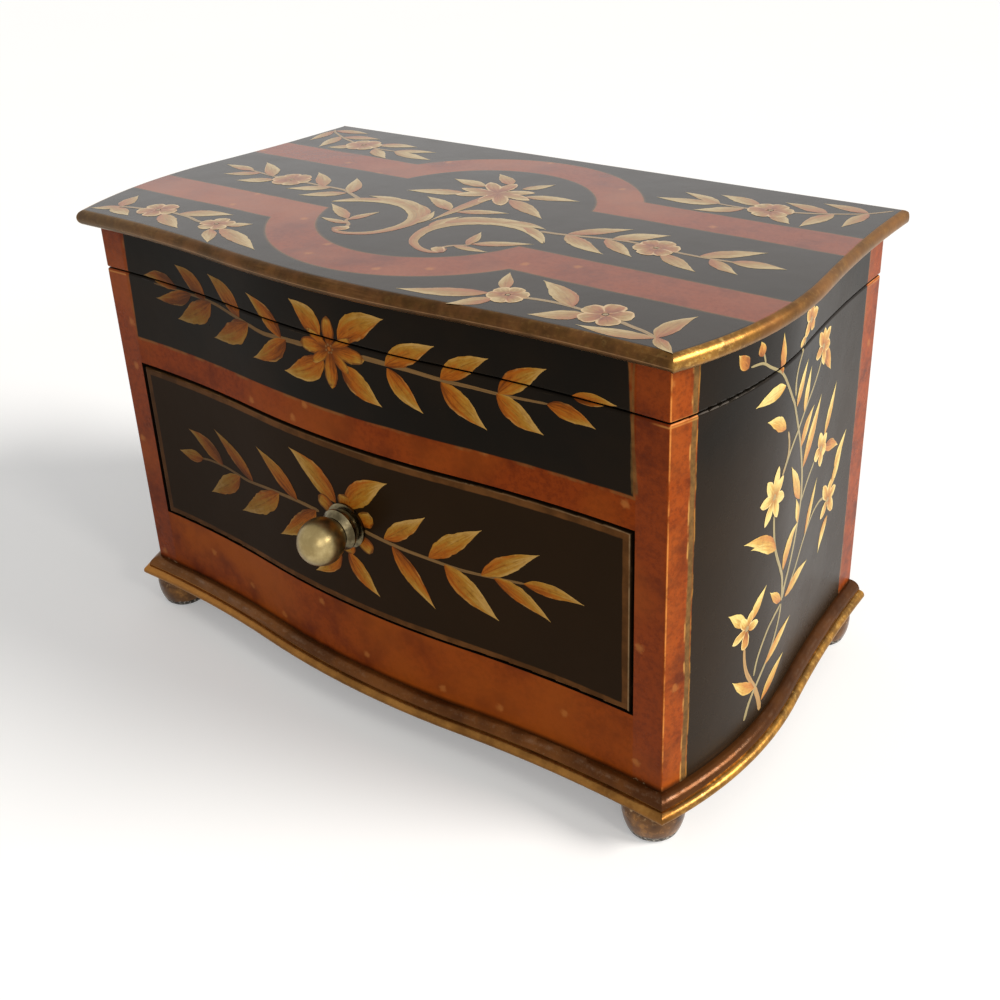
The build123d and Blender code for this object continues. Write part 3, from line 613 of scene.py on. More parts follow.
def corner_post_paint():
    """Corner posts show a front or back face and a side face, so both paints are on them."""
    t = Tree("post_paint")
    x, y, z = t.axes()
    sideways = abs(t.facing()[0])
    on_side = t.step(sideways, 0.66, 0.72)
    front_red = red_paint(t, RED, RED_DEEP, t.join(x, z))
    side_red = red_paint(t, RED_SIDE, RED_DEEP, t.join(y, z))
    colour = t.mix(on_side, front_red, side_red)
    colour = side_gilt(t, colour, y, on_side)
    colour = front_gilt(t, colour, x, z, 1.0 - on_side)
    # Painted shade: the posts' faces inside the gap beside the drawer are painted near-black.
    reveal = t.step(abs(x), POST_REVEAL + 0.4, POST_REVEAL - 0.4)
    colour = t.mix(t.step(sideways, 0.90, 0.97) * reveal, colour, GAP_SHADE)
    # A thin lighter orange line is painted along the upright corner: a painted highlight on the
    # arris, partly worn paint.
    corner = t.step(abs(sideways - 0.72), 0.24, 0.08) * t.patch(0.32, 0.60, 90, 5, 0.7)
    colour = t.mix(corner * 0.80, colour, (0.72, 0.26, 0.055))
    rim = line(t, z, SEAM - 1.25, 0.20, 0.35) * t.patch(0.34, 0.56, 60, 4, 0.7)
    colour = t.mix(rim * 0.55, colour, (0.62, 0.27, 0.060))
    colour = seam_shade_and_wear(t, colour, z)
    # Painted shade where the post meets the base moulding, and a few chips of wear there.
    foot_gap = z - WALL_BOTTOM
    chip = t.step(foot_gap, 2.5, 0.0) * t.patch(0.56, 0.62, 300, 5, 0.7)
    colour = t.mix(t.step(foot_gap, 2.4, 0.0) * 0.8, colour, JOIN_SHADE)
    colour = t.mix(chip * 0.4, colour, WORN)
    gloss = t.noise(70, 4) * 0.14 + 0.22
    return t.set(color=colour, roughness=gloss, specular=0.08, normal=lacquer_bump(t),
                 tint=(1.0, 0.86, 0.70))


def brass(name, pale, dark, rough, rings):
    """Brass with turned lines; rings is how many of them lie in a millimetre."""
    t = Tree(name)
    x, y, z = t.axes()
    # The lines run round the knob's own axis, which lies along Y.
    turned = t.noise(1.0, 4, 0.7, vector=t.join(y * rings, x * 0.022, z * 0.022))
    tarnish = t.noise(160, 5, 0.65)
    colour = t.mix(t.step(tarnish, 0.35, 0.72), dark, pale)
    colour = t.mix(t.step(turned, 0.45, 0.70) * 0.3, colour, dark)
    gloss = rough + turned * 0.10
    return t.set(color=colour, metallic=1.0, roughness=gloss, normal=t.bump(turned, 0.08, 0.0002))


def plain_wood(name, light, dark, along="x"):
    t = Tree(name)
    long_way = {"x": (12, 170, 170), "y": (170, 12, 170)}[along]
    grain = t.noise(1.0, 5, 0.6, vector=t.stretch(*long_way), twist=0.6)
    wide = t.noise(18, 3)
    pore = t.noise(1.0, 3, 0.7, vector=t.stretch(*[v * 7 for v in long_way]))
    colour = t.mix(t.step(grain, 0.32, 0.68), dark, light)
    colour = t.mix(t.step(wide, 0.4, 0.7) * 0.35, colour, dark)
    colour = t.mix(t.step(pore, 0.60, 0.70) * 0.45, colour, tuple(c * 0.45 for c in dark))
    return t.set(color=colour, roughness=0.52 + grain * 0.2,
                 specular=0.3, normal=t.bump(grain + pore * 0.5, 0.22, 0.0004))


def velvet():
    t = Tree("velvet")
    pile = t.noise(2600, 3, 0.7)
    nap = t.noise(34, 4, 0.6, twist=0.8)
    colour = t.mix(t.step(nap, 0.32, 0.70), (0.105, 0.006, 0.012), (0.23, 0.018, 0.030))
    colour = t.mix(t.step(pile, 0.45, 0.7) * 0.5, colour, (0.045, 0.002, 0.006))
    return t.set(color=colour, roughness=0.95, specular=0.1, sheen=0.8, sheen_roughness=0.35,
                 sheen_tint=(0.85, 0.35, 0.38), normal=t.bump(pile + nap * 0.4, 0.45, 0.0005))


def felt():
    t = Tree("felt")
    fibre = t.noise(1.0, 4, 0.75, vector=t.stretch(1500, 700, 1500), twist=1.5)
    colour = t.mix(t.step(fibre, 0.4, 0.68), (0.012, 0.010, 0.008), (0.045, 0.038, 0.032))
    return t.set(color=colour, roughness=0.97, specular=0.08, sheen=0.25,
                 normal=t.bump(fibre, 0.5, 0.0004))


def mirror_glass():
    t = Tree("mirror_glass")
    haze = t.noise(25, 4)
    colour = t.mix(t.step(haze, 0.45, 0.8), (0.86, 0.88, 0.87), (0.78, 0.80, 0.79))
    return t.set(color=colour, metallic=1.0, roughness=t.step(haze, 0.5, 0.9) * 0.05)


def steel():
    t = Tree("plated_steel")
    brushed = t.noise(1.0, 3, 0.6, vector=t.stretch(900, 90, 900))
    colour = t.mix(brushed, (0.36, 0.36, 0.35), (0.62, 0.61, 0.58))
    return t.set(color=colour, metallic=1.0, roughness=0.28 + brushed * 0.2,
                 normal=t.bump(brushed, 0.1, 0.0002))


def stroke_paint(name, shades, gloss, specular, fade=None, outline=None):
    """Gold, ochre and orange brush strokes. The stroke map runs along and across each stroke,
    and the tone map holds each stroke's own tone and seed; stems have no seed. With an outline
    colour it paints petals, which are warm at the heart and outlined all round."""
    t = Tree(name)
    along, across = t.map("stroke")
    tone, seed = t.map("tone")
    side = abs(across * 2.0 - 1.0)
    streak_place = t.join(along * 2.2 + seed * 40.0, across * 7.0, seed)
    streak = t.noise(1.0, 4, 0.7, vector=streak_place, twist=0.3)
    cloud = t.noise(420, 4, 0.7)
    lean = t.step(seed, 0.45, 0.60) * 2.0 - 1.0
    warm = tone + (0.50 - along) * 0.62 + (streak - 0.5) * 1.1 + (across - 0.5) * lean * -0.46
    pale, gold, orange, deep, stem = shades
    colour = t.ramp(warm, (0.08, pale), (0.36, gold), (0.70, orange), (1.0, deep))
    colour = t.mix(t.step(cloud, 0.42, 0.74) * 0.34, colour, deep)
    # A thin midrib and a few fine side lines, drawn in brown and half rubbed away.
    rib = t.step(side, 0.10, 0.02) * t.step(along, 0.85, 0.55)
    comb = t.math("SINE", (along * 6.0 - side * 2.0) * (2 * math.pi))
    vein = t.step(comb, 0.80, 0.98) * (t.step(side, 0.08, 0.2) * t.step(side, 0.75, 0.5))
    lines = t.most(rib * 0.34, vein * 0.16) * t.patch(0.38, 0.58, 360, 3)
    lines = lines * t.step(seed, 0.05, 0.12)
    colour = t.mix(lines, colour, tuple(c * 0.30 for c in deep))
    # Pale outline, strongest at the drawn-out tip.
    if outline is None:
        rim = t.step(side, 0.74, 0.95) * t.step(along, 0.10, 0.55)
        rim = t.most(rim * t.patch(0.38, 0.62, 300, 3), t.step(along, 0.74, 0.96))
        colour = t.mix(rim * 0.60, colour, pale)
    else:
        heart = t.step(along, 0.52, 0.12)
        colour = t.mix(heart * 0.6, colour, deep)
        rim = t.most(t.step(side, 0.66, 0.86), t.step(along, 0.84, 0.94))
        rim = rim * t.patch(0.30, 0.50, 300, 3)
        colour = t.mix(rim * 0.85, colour, outline)
    twig = t.mix(t.step(streak, 0.3, 0.7), stem, tuple(c * 0.55 for c in stem))
    colour = t.mix(t.step(seed, 0.12, 0.05), colour, t.mix(tone * 0.9, twig, orange))
    if fade is not None:
        colour = fade(t, colour)
    return t.set(color=colour, roughness=gloss + streak * 0.12,
                 specular=specular, normal=t.bump(streak + cloud * 0.4, 0.12, 0.0003))


def fade_left(t, colour):
    # The strokes on the left of the front are rubbed thin, so the ground shows through.
    x = t.axes()[0]
    thin = t.step(x + (t.noise(50, 3) - 0.5) * 24, 8, -80)
    return t.mix(thin * 0.52, colour, (0.030, 0.014, 0.006))


# Shades of the strokes on each face: pale, gold, orange, deep and stem
SHADES = {
    "front": ((0.47, 0.275, 0.076), (0.365, 0.178, 0.021), (0.350, 0.092, 0.006),
              (0.125, 0.030, 0.0035), (0.230, 0.125, 0.044)),
    "side": ((0.73, 0.57, 0.185), (0.58, 0.335, 0.065), (0.50, 0.195, 0.036),
             (0.25, 0.078, 0.014), (0.40, 0.32, 0.15)),
    "top": ((0.50, 0.38, 0.185), (0.37, 0.235, 0.090), (0.36, 0.145, 0.060),
            (0.22, 0.075, 0.035), (0.37, 0.275, 0.135))}

strokes = {}
for face, gloss, specular, fade, outline in (
        ("front", 0.30, 0.04, fade_left, (0.115, 0.032, 0.006)),
        ("side", 0.28, 0.15, None, (0.76, 0.58, 0.24)),
        ("top", 0.24, 0.40, None, (0.62, 0.44, 0.235))):
    strokes[face] = (
        stroke_paint(f"{face}_leaves", SHADES[face], gloss, specular, fade=fade),
        stroke_paint(f"{face}_petals", SHADES[face], gloss, specular, outline=outline))


def between(a, b, t):
    return (a[0] + (b[0] - a[0]) * t, a[1] + (b[1] - a[1]) * t)


def curve_through(points, count):
    # Even points along a smooth line through the given ones.
    ends = [(2 * points[0][0] - points[1][0], 2 * points[0][1] - points[1][1])]
    ends += list(points)
    ends.append((2 * points[-1][0] - points[-2][0], 2 * points[-1][1] - points[-2][1]))
    fine = []
    for i in range(1, len(ends) - 2):
        p0, p1, p2, p3 = ends[i - 1:i + 3]
        for k in range(12):
            s = k / 12
            fine.append(tuple(0.5 * (2 * p1[j] + (p2[j] - p0[j]) * s
                                     + (2 * p0[j] - 5 * p1[j] + 4 * p2[j] - p3[j]) * s * s
                                     + (3 * p1[j] - p0[j] - 3 * p2[j] + p3[j]) * s ** 3)
                              for j in (0, 1)))
    fine.append(tuple(points[-1]))
    runs = [0.0]
    for a, b in zip(fine, fine[1:]):
        runs.append(runs[-1] + math.hypot(b[0] - a[0], b[1] - a[1]))
    result = []
    j = 0
    for i in range(count + 1):
        goal = runs[-1] * i / count
        while j < len(runs) - 2 and runs[j + 1] < goal:
            j += 1
        span = runs[j + 1] - runs[j] or 1.0
        result.append(between(fine[j], fine[j + 1], (goal - runs[j]) / span))
    return result


class Painting:
    """Brush strokes laid on one face of the chest. Sizes are millimetres on that face."""

    def __init__(self, place, flip=False):
        self.place = place
        self.flip = flip
        self.points, self.faces, self.marks, self.kinds = [], [], [], []
        self.seed = 0

    def stroke(self, path, widths, tone, layer, across=4, vein=True, kind=0):
        # The paint lies a few hundredths of a millimetre above the wall, later layers higher.
        self.seed += 1
        seed = (0.15 + 0.85 * ((self.seed * 0.618) % 1.0)) if vein else 0.0
        lift = 0.040 + 0.012 * layer + 0.0012 * (self.seed % 8)
        start = len(self.points)
        count = len(path) - 1
        for i, (u, v) in enumerate(path):
            a = path[max(i - 1, 0)]
            b = path[min(i + 1, count)]
            run = math.hypot(b[0] - a[0], b[1] - a[1]) or 1.0
            nu, nv = -(b[1] - a[1]) / run, (b[0] - a[0]) / run
            for j in range(across + 1):
                s = 2 * j / across - 1
                rough = noise.noise(Vector((u * 0.5, v * 0.5, self.seed + s * 0.6)))
                w = widths[i] * (1 + 0.12 * rough * abs(s))
                height = lift + 0.02 * (1 - s * s) * min(1.0, widths[i] / 1.2)
                self.points.append((u + nu * s * w, v + nv * s * w, height))
                self.marks.append((i / count, j / across, tone, seed))
        for i in range(count):
            for j in range(across):
                k = start + i * (across + 1) + j
                face = (k, k + across + 1, k + across + 2, k + 1)
                self.faces.append(face[::-1] if self.flip else face)
                self.kinds.append(kind)

    def leaf(self, bu, bv, tu, tv, width, bend=0.12, tone=0.45, layer=1.0, rise=0.85, fall=1.35,
             kind=0):
        length = math.hypot(tu - bu, tv - bv)
        count = max(12, int(length / 1.1))
        cu = (bu + tu) / 2 - (tv - bv) * bend
        cv = (bv + tv) / 2 + (tu - bu) * bend
        path = []
        for i in range(count + 1):
            s = i / count
            path.append(((1 - s) ** 2 * bu + 2 * s * (1 - s) * cu + s * s * tu,
                          (1 - s) ** 2 * bv + 2 * s * (1 - s) * cv + s * s * tv))
        # The belly of the leaf is behind its middle, and the tip is drawn out thin.
        belly = rise / (rise + fall)
        peak = belly ** rise * (1 - belly) ** fall
        widths = []
        for i in range(count + 1):
            s = i / count
            w = s ** rise * (1 - s) ** fall / peak * width / 2
            widths.append(max(w, 0.16 * (1 - s) + 0.05))
        self.stroke(path, widths, tone, layer, kind=kind)

    def leaves(self, rows, narrow=1.0, layer=1.0, way=1, middle=0.0):
        # Rows of start, tip, width, bend and tone; way -1 mirrors them over the middle.
        for bu, bv, tu, tv, width, bend, tone in rows:
            self.leaf(middle + way * (bu - middle), bv, middle + way * (tu - middle), tv,
                      width * narrow, bend * way, tone, layer)

    def petal(self, bu, bv, tu, tv, width, bend=0.0, tone=0.3, layer=2.0):
        self.leaf(bu, bv, tu, tv, width, bend, tone, layer, 0.75, 0.45, kind=1)

    def stem(self, points, w0, w1, tone=0.0, layer=0.0):
        length = sum(math.hypot(b[0] - a[0], b[1] - a[1]) for a, b in zip(points, points[1:]))
        count = max(6, int(length / 1.6))
        path = curve_through(points, count)
        widths = [(w0 + (w1 - w0) * i / count) / 2 for i in range(count + 1)]
        widths[0] *= 0.5
        widths[-1] *= 0.5
        self.stroke(path, widths, tone, layer, across=2, vein=False)

    def ribbon(self, points, widths, tone, layer=1.0):
        count = 40
        path = curve_through(points, count)
        keep = []
        for i in range(count + 1):
            place = i / count * (len(widths) - 1)
            k = min(int(place), len(widths) - 2)
            keep.append((widths[k] + (widths[k + 1] - widths[k]) * (place - k)) / 2)
        self.stroke(path, keep, tone, layer)

    def dot(self, u, v, radius, tone=0.9, layer=5.0):
        self.stroke([(u - radius + 2 * radius * i / 6, v) for i in range(7)],
                    [radius * math.sqrt(max(1 - (i / 3 - 1) ** 2, 0.02)) for i in range(7)],
                    tone, layer, vein=False)

    def blossom(self, u, v, size, petals=5, turn=0.0, tone=0.45):
        # A small flower of rounded petals with a dotted middle.
        for k in range(petals):
            angle = turn + 2 * math.pi * k / petals
            cu, cv = math.cos(angle), math.sin(angle)
            self.petal(u + cu * size * 0.12, v + cv * size * 0.12, u + cu * size, v + cv * size,
                       size * 0.86, tone=tone + 0.12 * math.sin(3.7 * k + u),
                       layer=2.0 + 0.3 * k)
        for k in range(5):
            angle = turn + 0.6 + 2 * math.pi * k / 5
            self.dot(u + math.cos(angle) * size * 0.20, v + math.sin(angle) * size * 0.20,
                     size * 0.075, tone=0.95)
        self.dot(u, v, size * 0.10, tone=0.1, layer=5.5)

    def build(self, name, body, paints, above=None, below=None):
        # The strokes are drawn flat, cut at the seam, and then laid on the wall.
        mesh = bpy.data.meshes.new(name)
        mesh.from_pydata(self.points, [], self.faces)
        along = mesh.uv_layers.new(name="stroke")
        tones = mesh.uv_layers.new(name="tone")
        for loop in mesh.loops:
            a, b, tone, seed = self.marks[loop.vertex_index]
            along.data[loop.index].uv = (a, b)
            tones.data[loop.index].uv = (tone, seed)
        for face, kind in zip(mesh.polygons, self.kinds):
            face.material_index = kind
        bm = bmesh.new()
        bm.from_mesh(mesh)
        rounded = [SEAM_ROUND * (1 - math.sin(math.radians(15 * k))) for k in range(1, 6)]
        cuts = []
        if below is not None:
            cuts += [(CASE_RIM - r, False) for r in rounded + [SEAM_ROUND]] + [(below, True)]
        if above is not None:
            cuts += [(LID_RIM + r, False) for r in rounded + [SEAM_ROUND]] + [(above, True)]
        for height, clear in cuts:
            parts = bm.verts[:] + bm.edges[:] + bm.faces[:]
            bmesh.ops.bisect_plane(bm, geom=parts, plane_co=(0, height, 0), clear_outer=clear,
                                   plane_no=(0, 1 if below is not None else -1, 0))
        for vertex in bm.verts:
            vertex.co = self.place(*vertex.co)
        for face in bm.faces:
            face.smooth = True
        bm.to_mesh(mesh)
        bm.free()
        for paint in paints:
            mesh.materials.append(paint)
        obj = bpy.data.objects.new(name, mesh)
        bpy.context.scene.collection.objects.link(obj)
        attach(obj, body)
        return obj


# Camera: set from the chest's own corners in the picture
CAMERA_PLACE = Vector((0.26389, -0.31902, 0.30875))
YAW, PITCH, ROLL = math.radians(35.69), math.radians(23.85), math.radians(-1.64)
SENSOR_WIDTH = 36.0
FOCAL_RATIO = 1.1653           # the lens's length over the sensor's width
scene = bpy.context.scene
camera_data = bpy.data.cameras.new("camera")
camera = bpy.data.objects.new("camera", camera_data)
scene.collection.objects.link(camera)
back_way = Vector((math.sin(YAW) * math.cos(PITCH), -math.cos(YAW) * math.cos(PITCH),
                   math.sin(PITCH)))
right_way = Vector((math.cos(YAW), math.sin(YAW), 0.0))
up_way = back_way.cross(right_way)
turned_right = math.cos(ROLL) * right_way + math.sin(ROLL) * up_way
turned_up = -math.sin(ROLL) * right_way + math.cos(ROLL) * up_way
turn = Matrix((turned_right, turned_up, back_way)).transposed().to_4x4()
camera.matrix_world = Matrix.Translation(CAMERA_PLACE) @ turn
camera_data.sensor_width = SENSOR_WIDTH
camera_data.sensor_fit = "HORIZONTAL"
camera_data.lens = SENSOR_WIDTH * FOCAL_RATIO
camera_data.shift_x = -0.033
camera_data.shift_y = -0.151
camera_data.clip_start = 0.02
camera_data.clip_end = 50
scene.camera = camera

# Light: a soft key from the right and a little behind, a weak lamp in front, and a pale room
scene.view_settings.view_transform = "Standard"
world = bpy.data.worlds.new("room")
scene.world = world
room = Tree("room", world)
pale = room.nodes["Background"]
room.feed(pale.inputs["Color"], (1.0, 0.985, 0.965))
room.feed(pale.inputs["Strength"], 0.42)
white = room.node("Background", Color=(1.0, 1.0, 1.0), Strength=1.0)
either = room.blend("MixShader", pale, white, Fac=room.seen())
room.links.new(either.outputs[0], room.nodes["World Output"].inputs["Surface"])


def lamp(name, place, aim, size, power, colour=(1, 1, 1)):
    data = bpy.data.lights.new(name, "AREA")
    data.shape = "RECTANGLE"
    data.size, data.size_y = size
    data.energy = power
    data.color = colour
    obj = bpy.data.objects.new(name, data)
    obj.location = place
    obj.rotation_euler = (Vector(aim) - Vector(place)).to_track_quat("-Z", "Y").to_euler()
    scene.collection.objects.link(obj)


sun = bpy.data.lights.new("key", "SUN")
sun.energy = 3.0
sun.angle = math.radians(24)
sun.color = (1.0, 0.965, 0.92)
key = bpy.data.objects.new("key", sun)
key.rotation_euler = Vector((0.77, 0.32, 0.55)).to_track_quat("Z", "Y").to_euler()
scene.collection.objects.link(key)
lamp("fill", (0.95, -1.15, 0.75), (0, 0, 0.09), (0.8, 0.8), 4.0, (1.0, 0.96, 0.90))
lamp("window", (1.38, -0.31, 0.89), (0, -0.08, 0.085), (0.27, 0.27), 4.4, (1.0, 0.97, 0.90))

# Floor: pale; it looks white where it is lit and keeps the chest's shadow
floor_mesh = bpy.data.meshes.new("floor")
floor_mesh.from_pydata([(-6, -6, 0), (6, -6, 0), (6, 6, 0), (-6, 6, 0)], [], [(0, 1, 2, 3)])
floor = bpy.data.objects.new("floor", floor_mesh)
scene.collection.objects.link(floor)
paper = Tree("floor_paper")
shade = paper.mix(paper.noise(3.0, 2), (0.80, 0.80, 0.80), (0.83, 0.83, 0.825))
paper.set(color=shade, roughness=0.9, specular=0.05)
# Where it is seen, the paper gives a little light of its own.
glow = paper.node("Emission", Color=(0.97, 0.985, 1.0), Strength=0.235)
none = paper.node("Emission", Strength=0.0)
own_light = paper.blend("MixShader", none, glow, Fac=paper.seen())
both = paper.blend("AddShader", paper.shader, own_light)
paper.links.new(both.outputs[0], paper.nodes["Material Output"].inputs["Surface"])
floor_mesh.materials.append(paper.mat)

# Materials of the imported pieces
wood_x = plain_wood("wood_across", (0.42, 0.25, 0.12), (0.24, 0.125, 0.052), "x")
wood_y = plain_wood("wood_deep", (0.42, 0.25, 0.12), (0.24, 0.125, 0.052), "y")
base_stain = plain_wood("base_board_stain", (0.115, 0.052, 0.020), (0.050, 0.022, 0.009), "x")
knob_brass = brass("knob_brass", (0.45, 0.350, 0.165), (0.27, 0.200, 0.085), 0.28, 1.4)
# The rose's brass is painted darker than the knob's: painted shade behind the ball.
rose_brass = brass("rose_brass", (0.25, 0.205, 0.115), (0.070, 0.055, 0.029), 0.18, 1.7)
hinge_brass = brass("hinge_brass", (0.62, 0.46, 0.20), (0.30, 0.20, 0.07), 0.26, 0.3)
velvet_red = velvet()
felt_black = felt()
CORNERS = ("front_left", "front_right", "back_left", "back_right")

for paint, names in (
        (wall_paint("front_paint", side=False),
         "front_apron front_middle_rail front_bottom_rail lid_front"),
        (wall_paint("side_paint", side=True), "case_side_left case_side_right lid_left lid_right"),
        (corner_post_paint(), " ".join(f"case_post_{c} lid_post_{c}" for c in CORNERS)),
        (lid_top_paint(), "lid_top"),
        (drawer_front_paint(), "drawer_front"),
        (moulding_paint(), "base_moulding_front base_moulding_left base_moulding_right"),
        (base_stain, "base_board"),
        (foot_paint(), " ".join(f"foot_{c}" for c in CORNERS)),
        (back_paint(), "case_back lid_back"),
        (knob_brass, "drawer_knob"),
        (rose_brass, "knob_rose"),
        (hinge_brass, "hinge_case_leaf_left hinge_case_leaf_right hinge_lid_leaf_left "
                      "hinge_lid_leaf_right hinge_pins hinge_case_screws hinge_lid_screws"),
        (steel(), "knob_screw"),
        (mirror_glass(), "lid_mirror"),
        (wood_x, "drawer_shelf well_floor drawer_back drawer_bottom mirror_frame"),
        (wood_y, "drawer_wear_strips drawer_stops drawer_kickers drawer_side_left "
                 "drawer_side_right")):
    for name in names.split():
        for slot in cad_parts[name].material_slots:
            slot.link = "OBJECT"
            slot.material = paint

# Drawer: two garlands that leave the knob
art = Painting(on_drawer)
art.stem([(8, 84.4), (14.3, 83.6), (25.5, 82.5), (35.5, 82.1), (48, 81.5), (56.8, 81.9),
          (65.5, 82.8), (74.3, 84)], 1.6, 0.9)
art.stem([(-14, 85), (-24.5, 85.3), (-35.8, 84.8), (-47, 83.8), (-55.8, 82.9), (-63.3, 83.5),
          (-70.8, 84.1), (-79.5, 83.8), (-85.8, 82.8)], 1.6, 0.9)
art.leaves([
    (17.4, 84.1, 36.1, 98.5, 6.6, -0.02, 0.40), (36.5, 82.5, 58.4, 99.8, 7.2, 0.04, 0.42),
    (57.4, 81.9, 80.3, 97.1, 6.6, 0.04, 0.36), (74, 83.9, 96.8, 83.7, 5.2, 0.07, 0.42),
    (20.8, 82.2, 37.8, 61.6, 7.0, -0.02, 0.62), (42.8, 81.6, 63.6, 65.3, 9.0, -0.05, 0.36),
    (62.4, 82.2, 84, 72.3, 6.0, 0.08, 0.48), (0.3, 91.5, 20.9, 107.4, 9.2, 0.14, 0.46),
    (-0.5, 72.5, 13, 57.9, 7.4, -0.10, 0.55), (-25.8, 85.6, -47.3, 100.9, 7.2, -0.06, 0.60),
    (-52.6, 83.7, -73.9, 99.6, 6.6, -0.03, 0.66), (-71.4, 84.4, -91, 94.6, 7.0, -0.12, 0.66),
    (-84.5, 83.1, -99.3, 82.5, 5.4, 0.05, 0.50), (-15.8, 84.8, -38.5, 65.9, 8.0, 0.08, 0.60),
    (-36.4, 84.6, -62.6, 67, 9.0, 0.06, 0.42), (-61, 82.9, -82, 68.6, 8.0, 0.05, 0.40),
    (-4.5, 91.9, -27, 107.5, 9.2, -0.12, 0.44), (-4.5, 70.5, -19.5, 57.3, 6.6, 0.12, 0.48)])
for turn, reach in ((28, 14.5), (150, 15.5), (-35, 14.0), (215, 13.0), (90, 12.5), (-92, 12.5)):
    angle = math.radians(turn)
    art.petal(math.cos(angle) * 5, KNOB_Z + math.sin(angle) * 5, math.cos(angle) * reach,
              KNOB_Z + math.sin(angle) * reach, 6.4, tone=0.62)
art.build("drawer_garland", "drawer", strokes["front"])

# Front garland across the seam, with an eight-petalled flower in the middle
art = Painting(on_front)
art.stem([(14, 153.4), (25.5, 153.2), (35.5, 152.8), (48, 152), (58, 151.8), (68, 151.6),
          (78, 152), (84.9, 152.4)], 1.9, 0.8)
art.stem([(-12, 151.8), (-21.8, 151.4), (-33, 150.8), (-41.8, 152), (-50.5, 153.4),
          (-60.5, 155.1), (-70.5, 155.6), (-78, 155.5), (-90.5, 155.4), (-98, 155.3)], 1.9, 0.7)
art.leaves([
    (24.5, 152.6, 44.5, 163.3, 7.6, 0.08, 0.50), (46.1, 152.4, 64, 162.9, 7.0, 0.10, 0.48),
    (67.1, 151.8, 84.6, 163.9, 7.0, 0.10, 0.50), (93, 156.9, 108.6, 157.8, 4.2, 0.03, 0.60),
    (25.3, 151.8, 38.6, 138.4, 7.0, -0.10, 0.52), (46.1, 151.2, 62.4, 138, 7.8, -0.06, 0.50),
    (66.5, 151.6, 83, 141.4, 7.6, -0.10, 0.42), (84.5, 152.2, 101.4, 148.3, 5.6, 0.08, 0.62),
    (-23.5, 151.6, -40.5, 164.5, 6.8, -0.10, 0.66), (-46.5, 153.6, -63, 166.4, 8.0, -0.12, 0.60),
    (-67, 155.2, -83, 165.8, 7.6, -0.12, 0.72), (-84.3, 155.9, -103.6, 157.6, 6.0, -0.16, 0.72),
    (-21.1, 151.4, -40.9, 139.5, 7.4, 0.12, 0.66), (-41.8, 152.4, -64.3, 141, 9.0, 0.10, 0.56),
    (-63.6, 155, -86.1, 143.3, 9.0, 0.10, 0.52), (-75.5, 155.5, -98, 149.3, 6.0, 0.08, 0.80),
    (4.9, 157.6, 25.3, 168.9, 9.4, 0.14, 0.52), (-3.6, 157, -17.1, 167.6, 8.6, -0.14, 0.52),
    (5.5, 148.6, 21.8, 136.8, 8.6, -0.10, 0.58), (-3, 148.6, -23.6, 139.1, 9.2, 0.16, 0.55)])
for tu, tv, width in ((15.9, 152.4, 5.8), (-13.6, 152.4, 6.0), (0.5, 165.1, 5.4),
                      (-0.1, 138.3, 6.0), (10.5, 158.6, 3.8), (-9.5, 158.4, 3.8),
                      (8.6, 145.6, 4.2), (-8.2, 146.4, 4.2)):
    art.leaf(0.4, 153.2, tu, tv, width, 0.0, 0.66, 2.0, 0.9, 0.65, kind=1)
for k in range(7):
    art.dot(0.4 + 1.5 * math.cos(k * 0.9), 153.2 + 1.5 * math.sin(k * 0.9), 0.42, 0.15)
art.dot(0.4, 153.2, 0.7, 0.95, 5.5)
art.build("front_garland_case", "case", strokes["front"], below=CASE_RIM - 0.15)
art.build("front_garland_lid", "lid", strokes["front"], above=LID_RIM + 0.15)

# Lid top: star flower on a stem, two leafy scrolls, and sprays
art = Painting(on_top)
art.leaf(-2.8, 30, -3.2, -9.4, 5.2, 0.0, 0.55, 1.0, 0.5, 1.2)
art.leaf(-5, 5, -24.1, 14.8, 6.2, -0.10, 0.30)
art.leaf(-1.3, 4.4, 16.9, 12.8, 5.2, 0.08, 0.35)
for tu, tv, width, tone in ((-3.8, 46.3, 6.2, 0.7), (-14.4, 43.1, 6.2, 0.6),
                            (-19.4, 30.6, 5.4, 0.5), (-16.3, 22.5, 6.4, 0.35),
                            (-2.5, 18.8, 5.2, 0.6), (8.1, 19.4, 6.4, 0.6),
                            (13.8, 30, 5.4, 0.4), (10, 39.4, 5.4, 0.3)):
    art.leaf(-2.8, 32.3, tu, tv, width, 0.04, tone, 2.0, 0.9, 0.75, kind=1)
art.leaves([
    (-5, 44, -18.8, 55, 6.0, -0.05, 0.45), (2.5, 41.3, 10.3, 53.1, 5.0, -0.06, 0.20),
    (9.3, 33.1, 31.3, 38.5, 5.6, 0.06, 0.15), (-12.8, 36.9, -30.6, 40, 6.6, -0.04, 0.20),
    (-13.6, 25.4, -36.9, 17.5, 7.0, -0.04, 0.20), (6.5, 27.3, 31, 13.5, 7.0, 0.04, 0.40)])
MIDDLE = -2.5    # the scrolls and the back corners are mirrored over this line


def mirrored(way, *points):
    # The points as they are (way 1), or as their mirror images (way -1).
    return [(MIDDLE + way * (u - MIDDLE), v) for u, v in points]


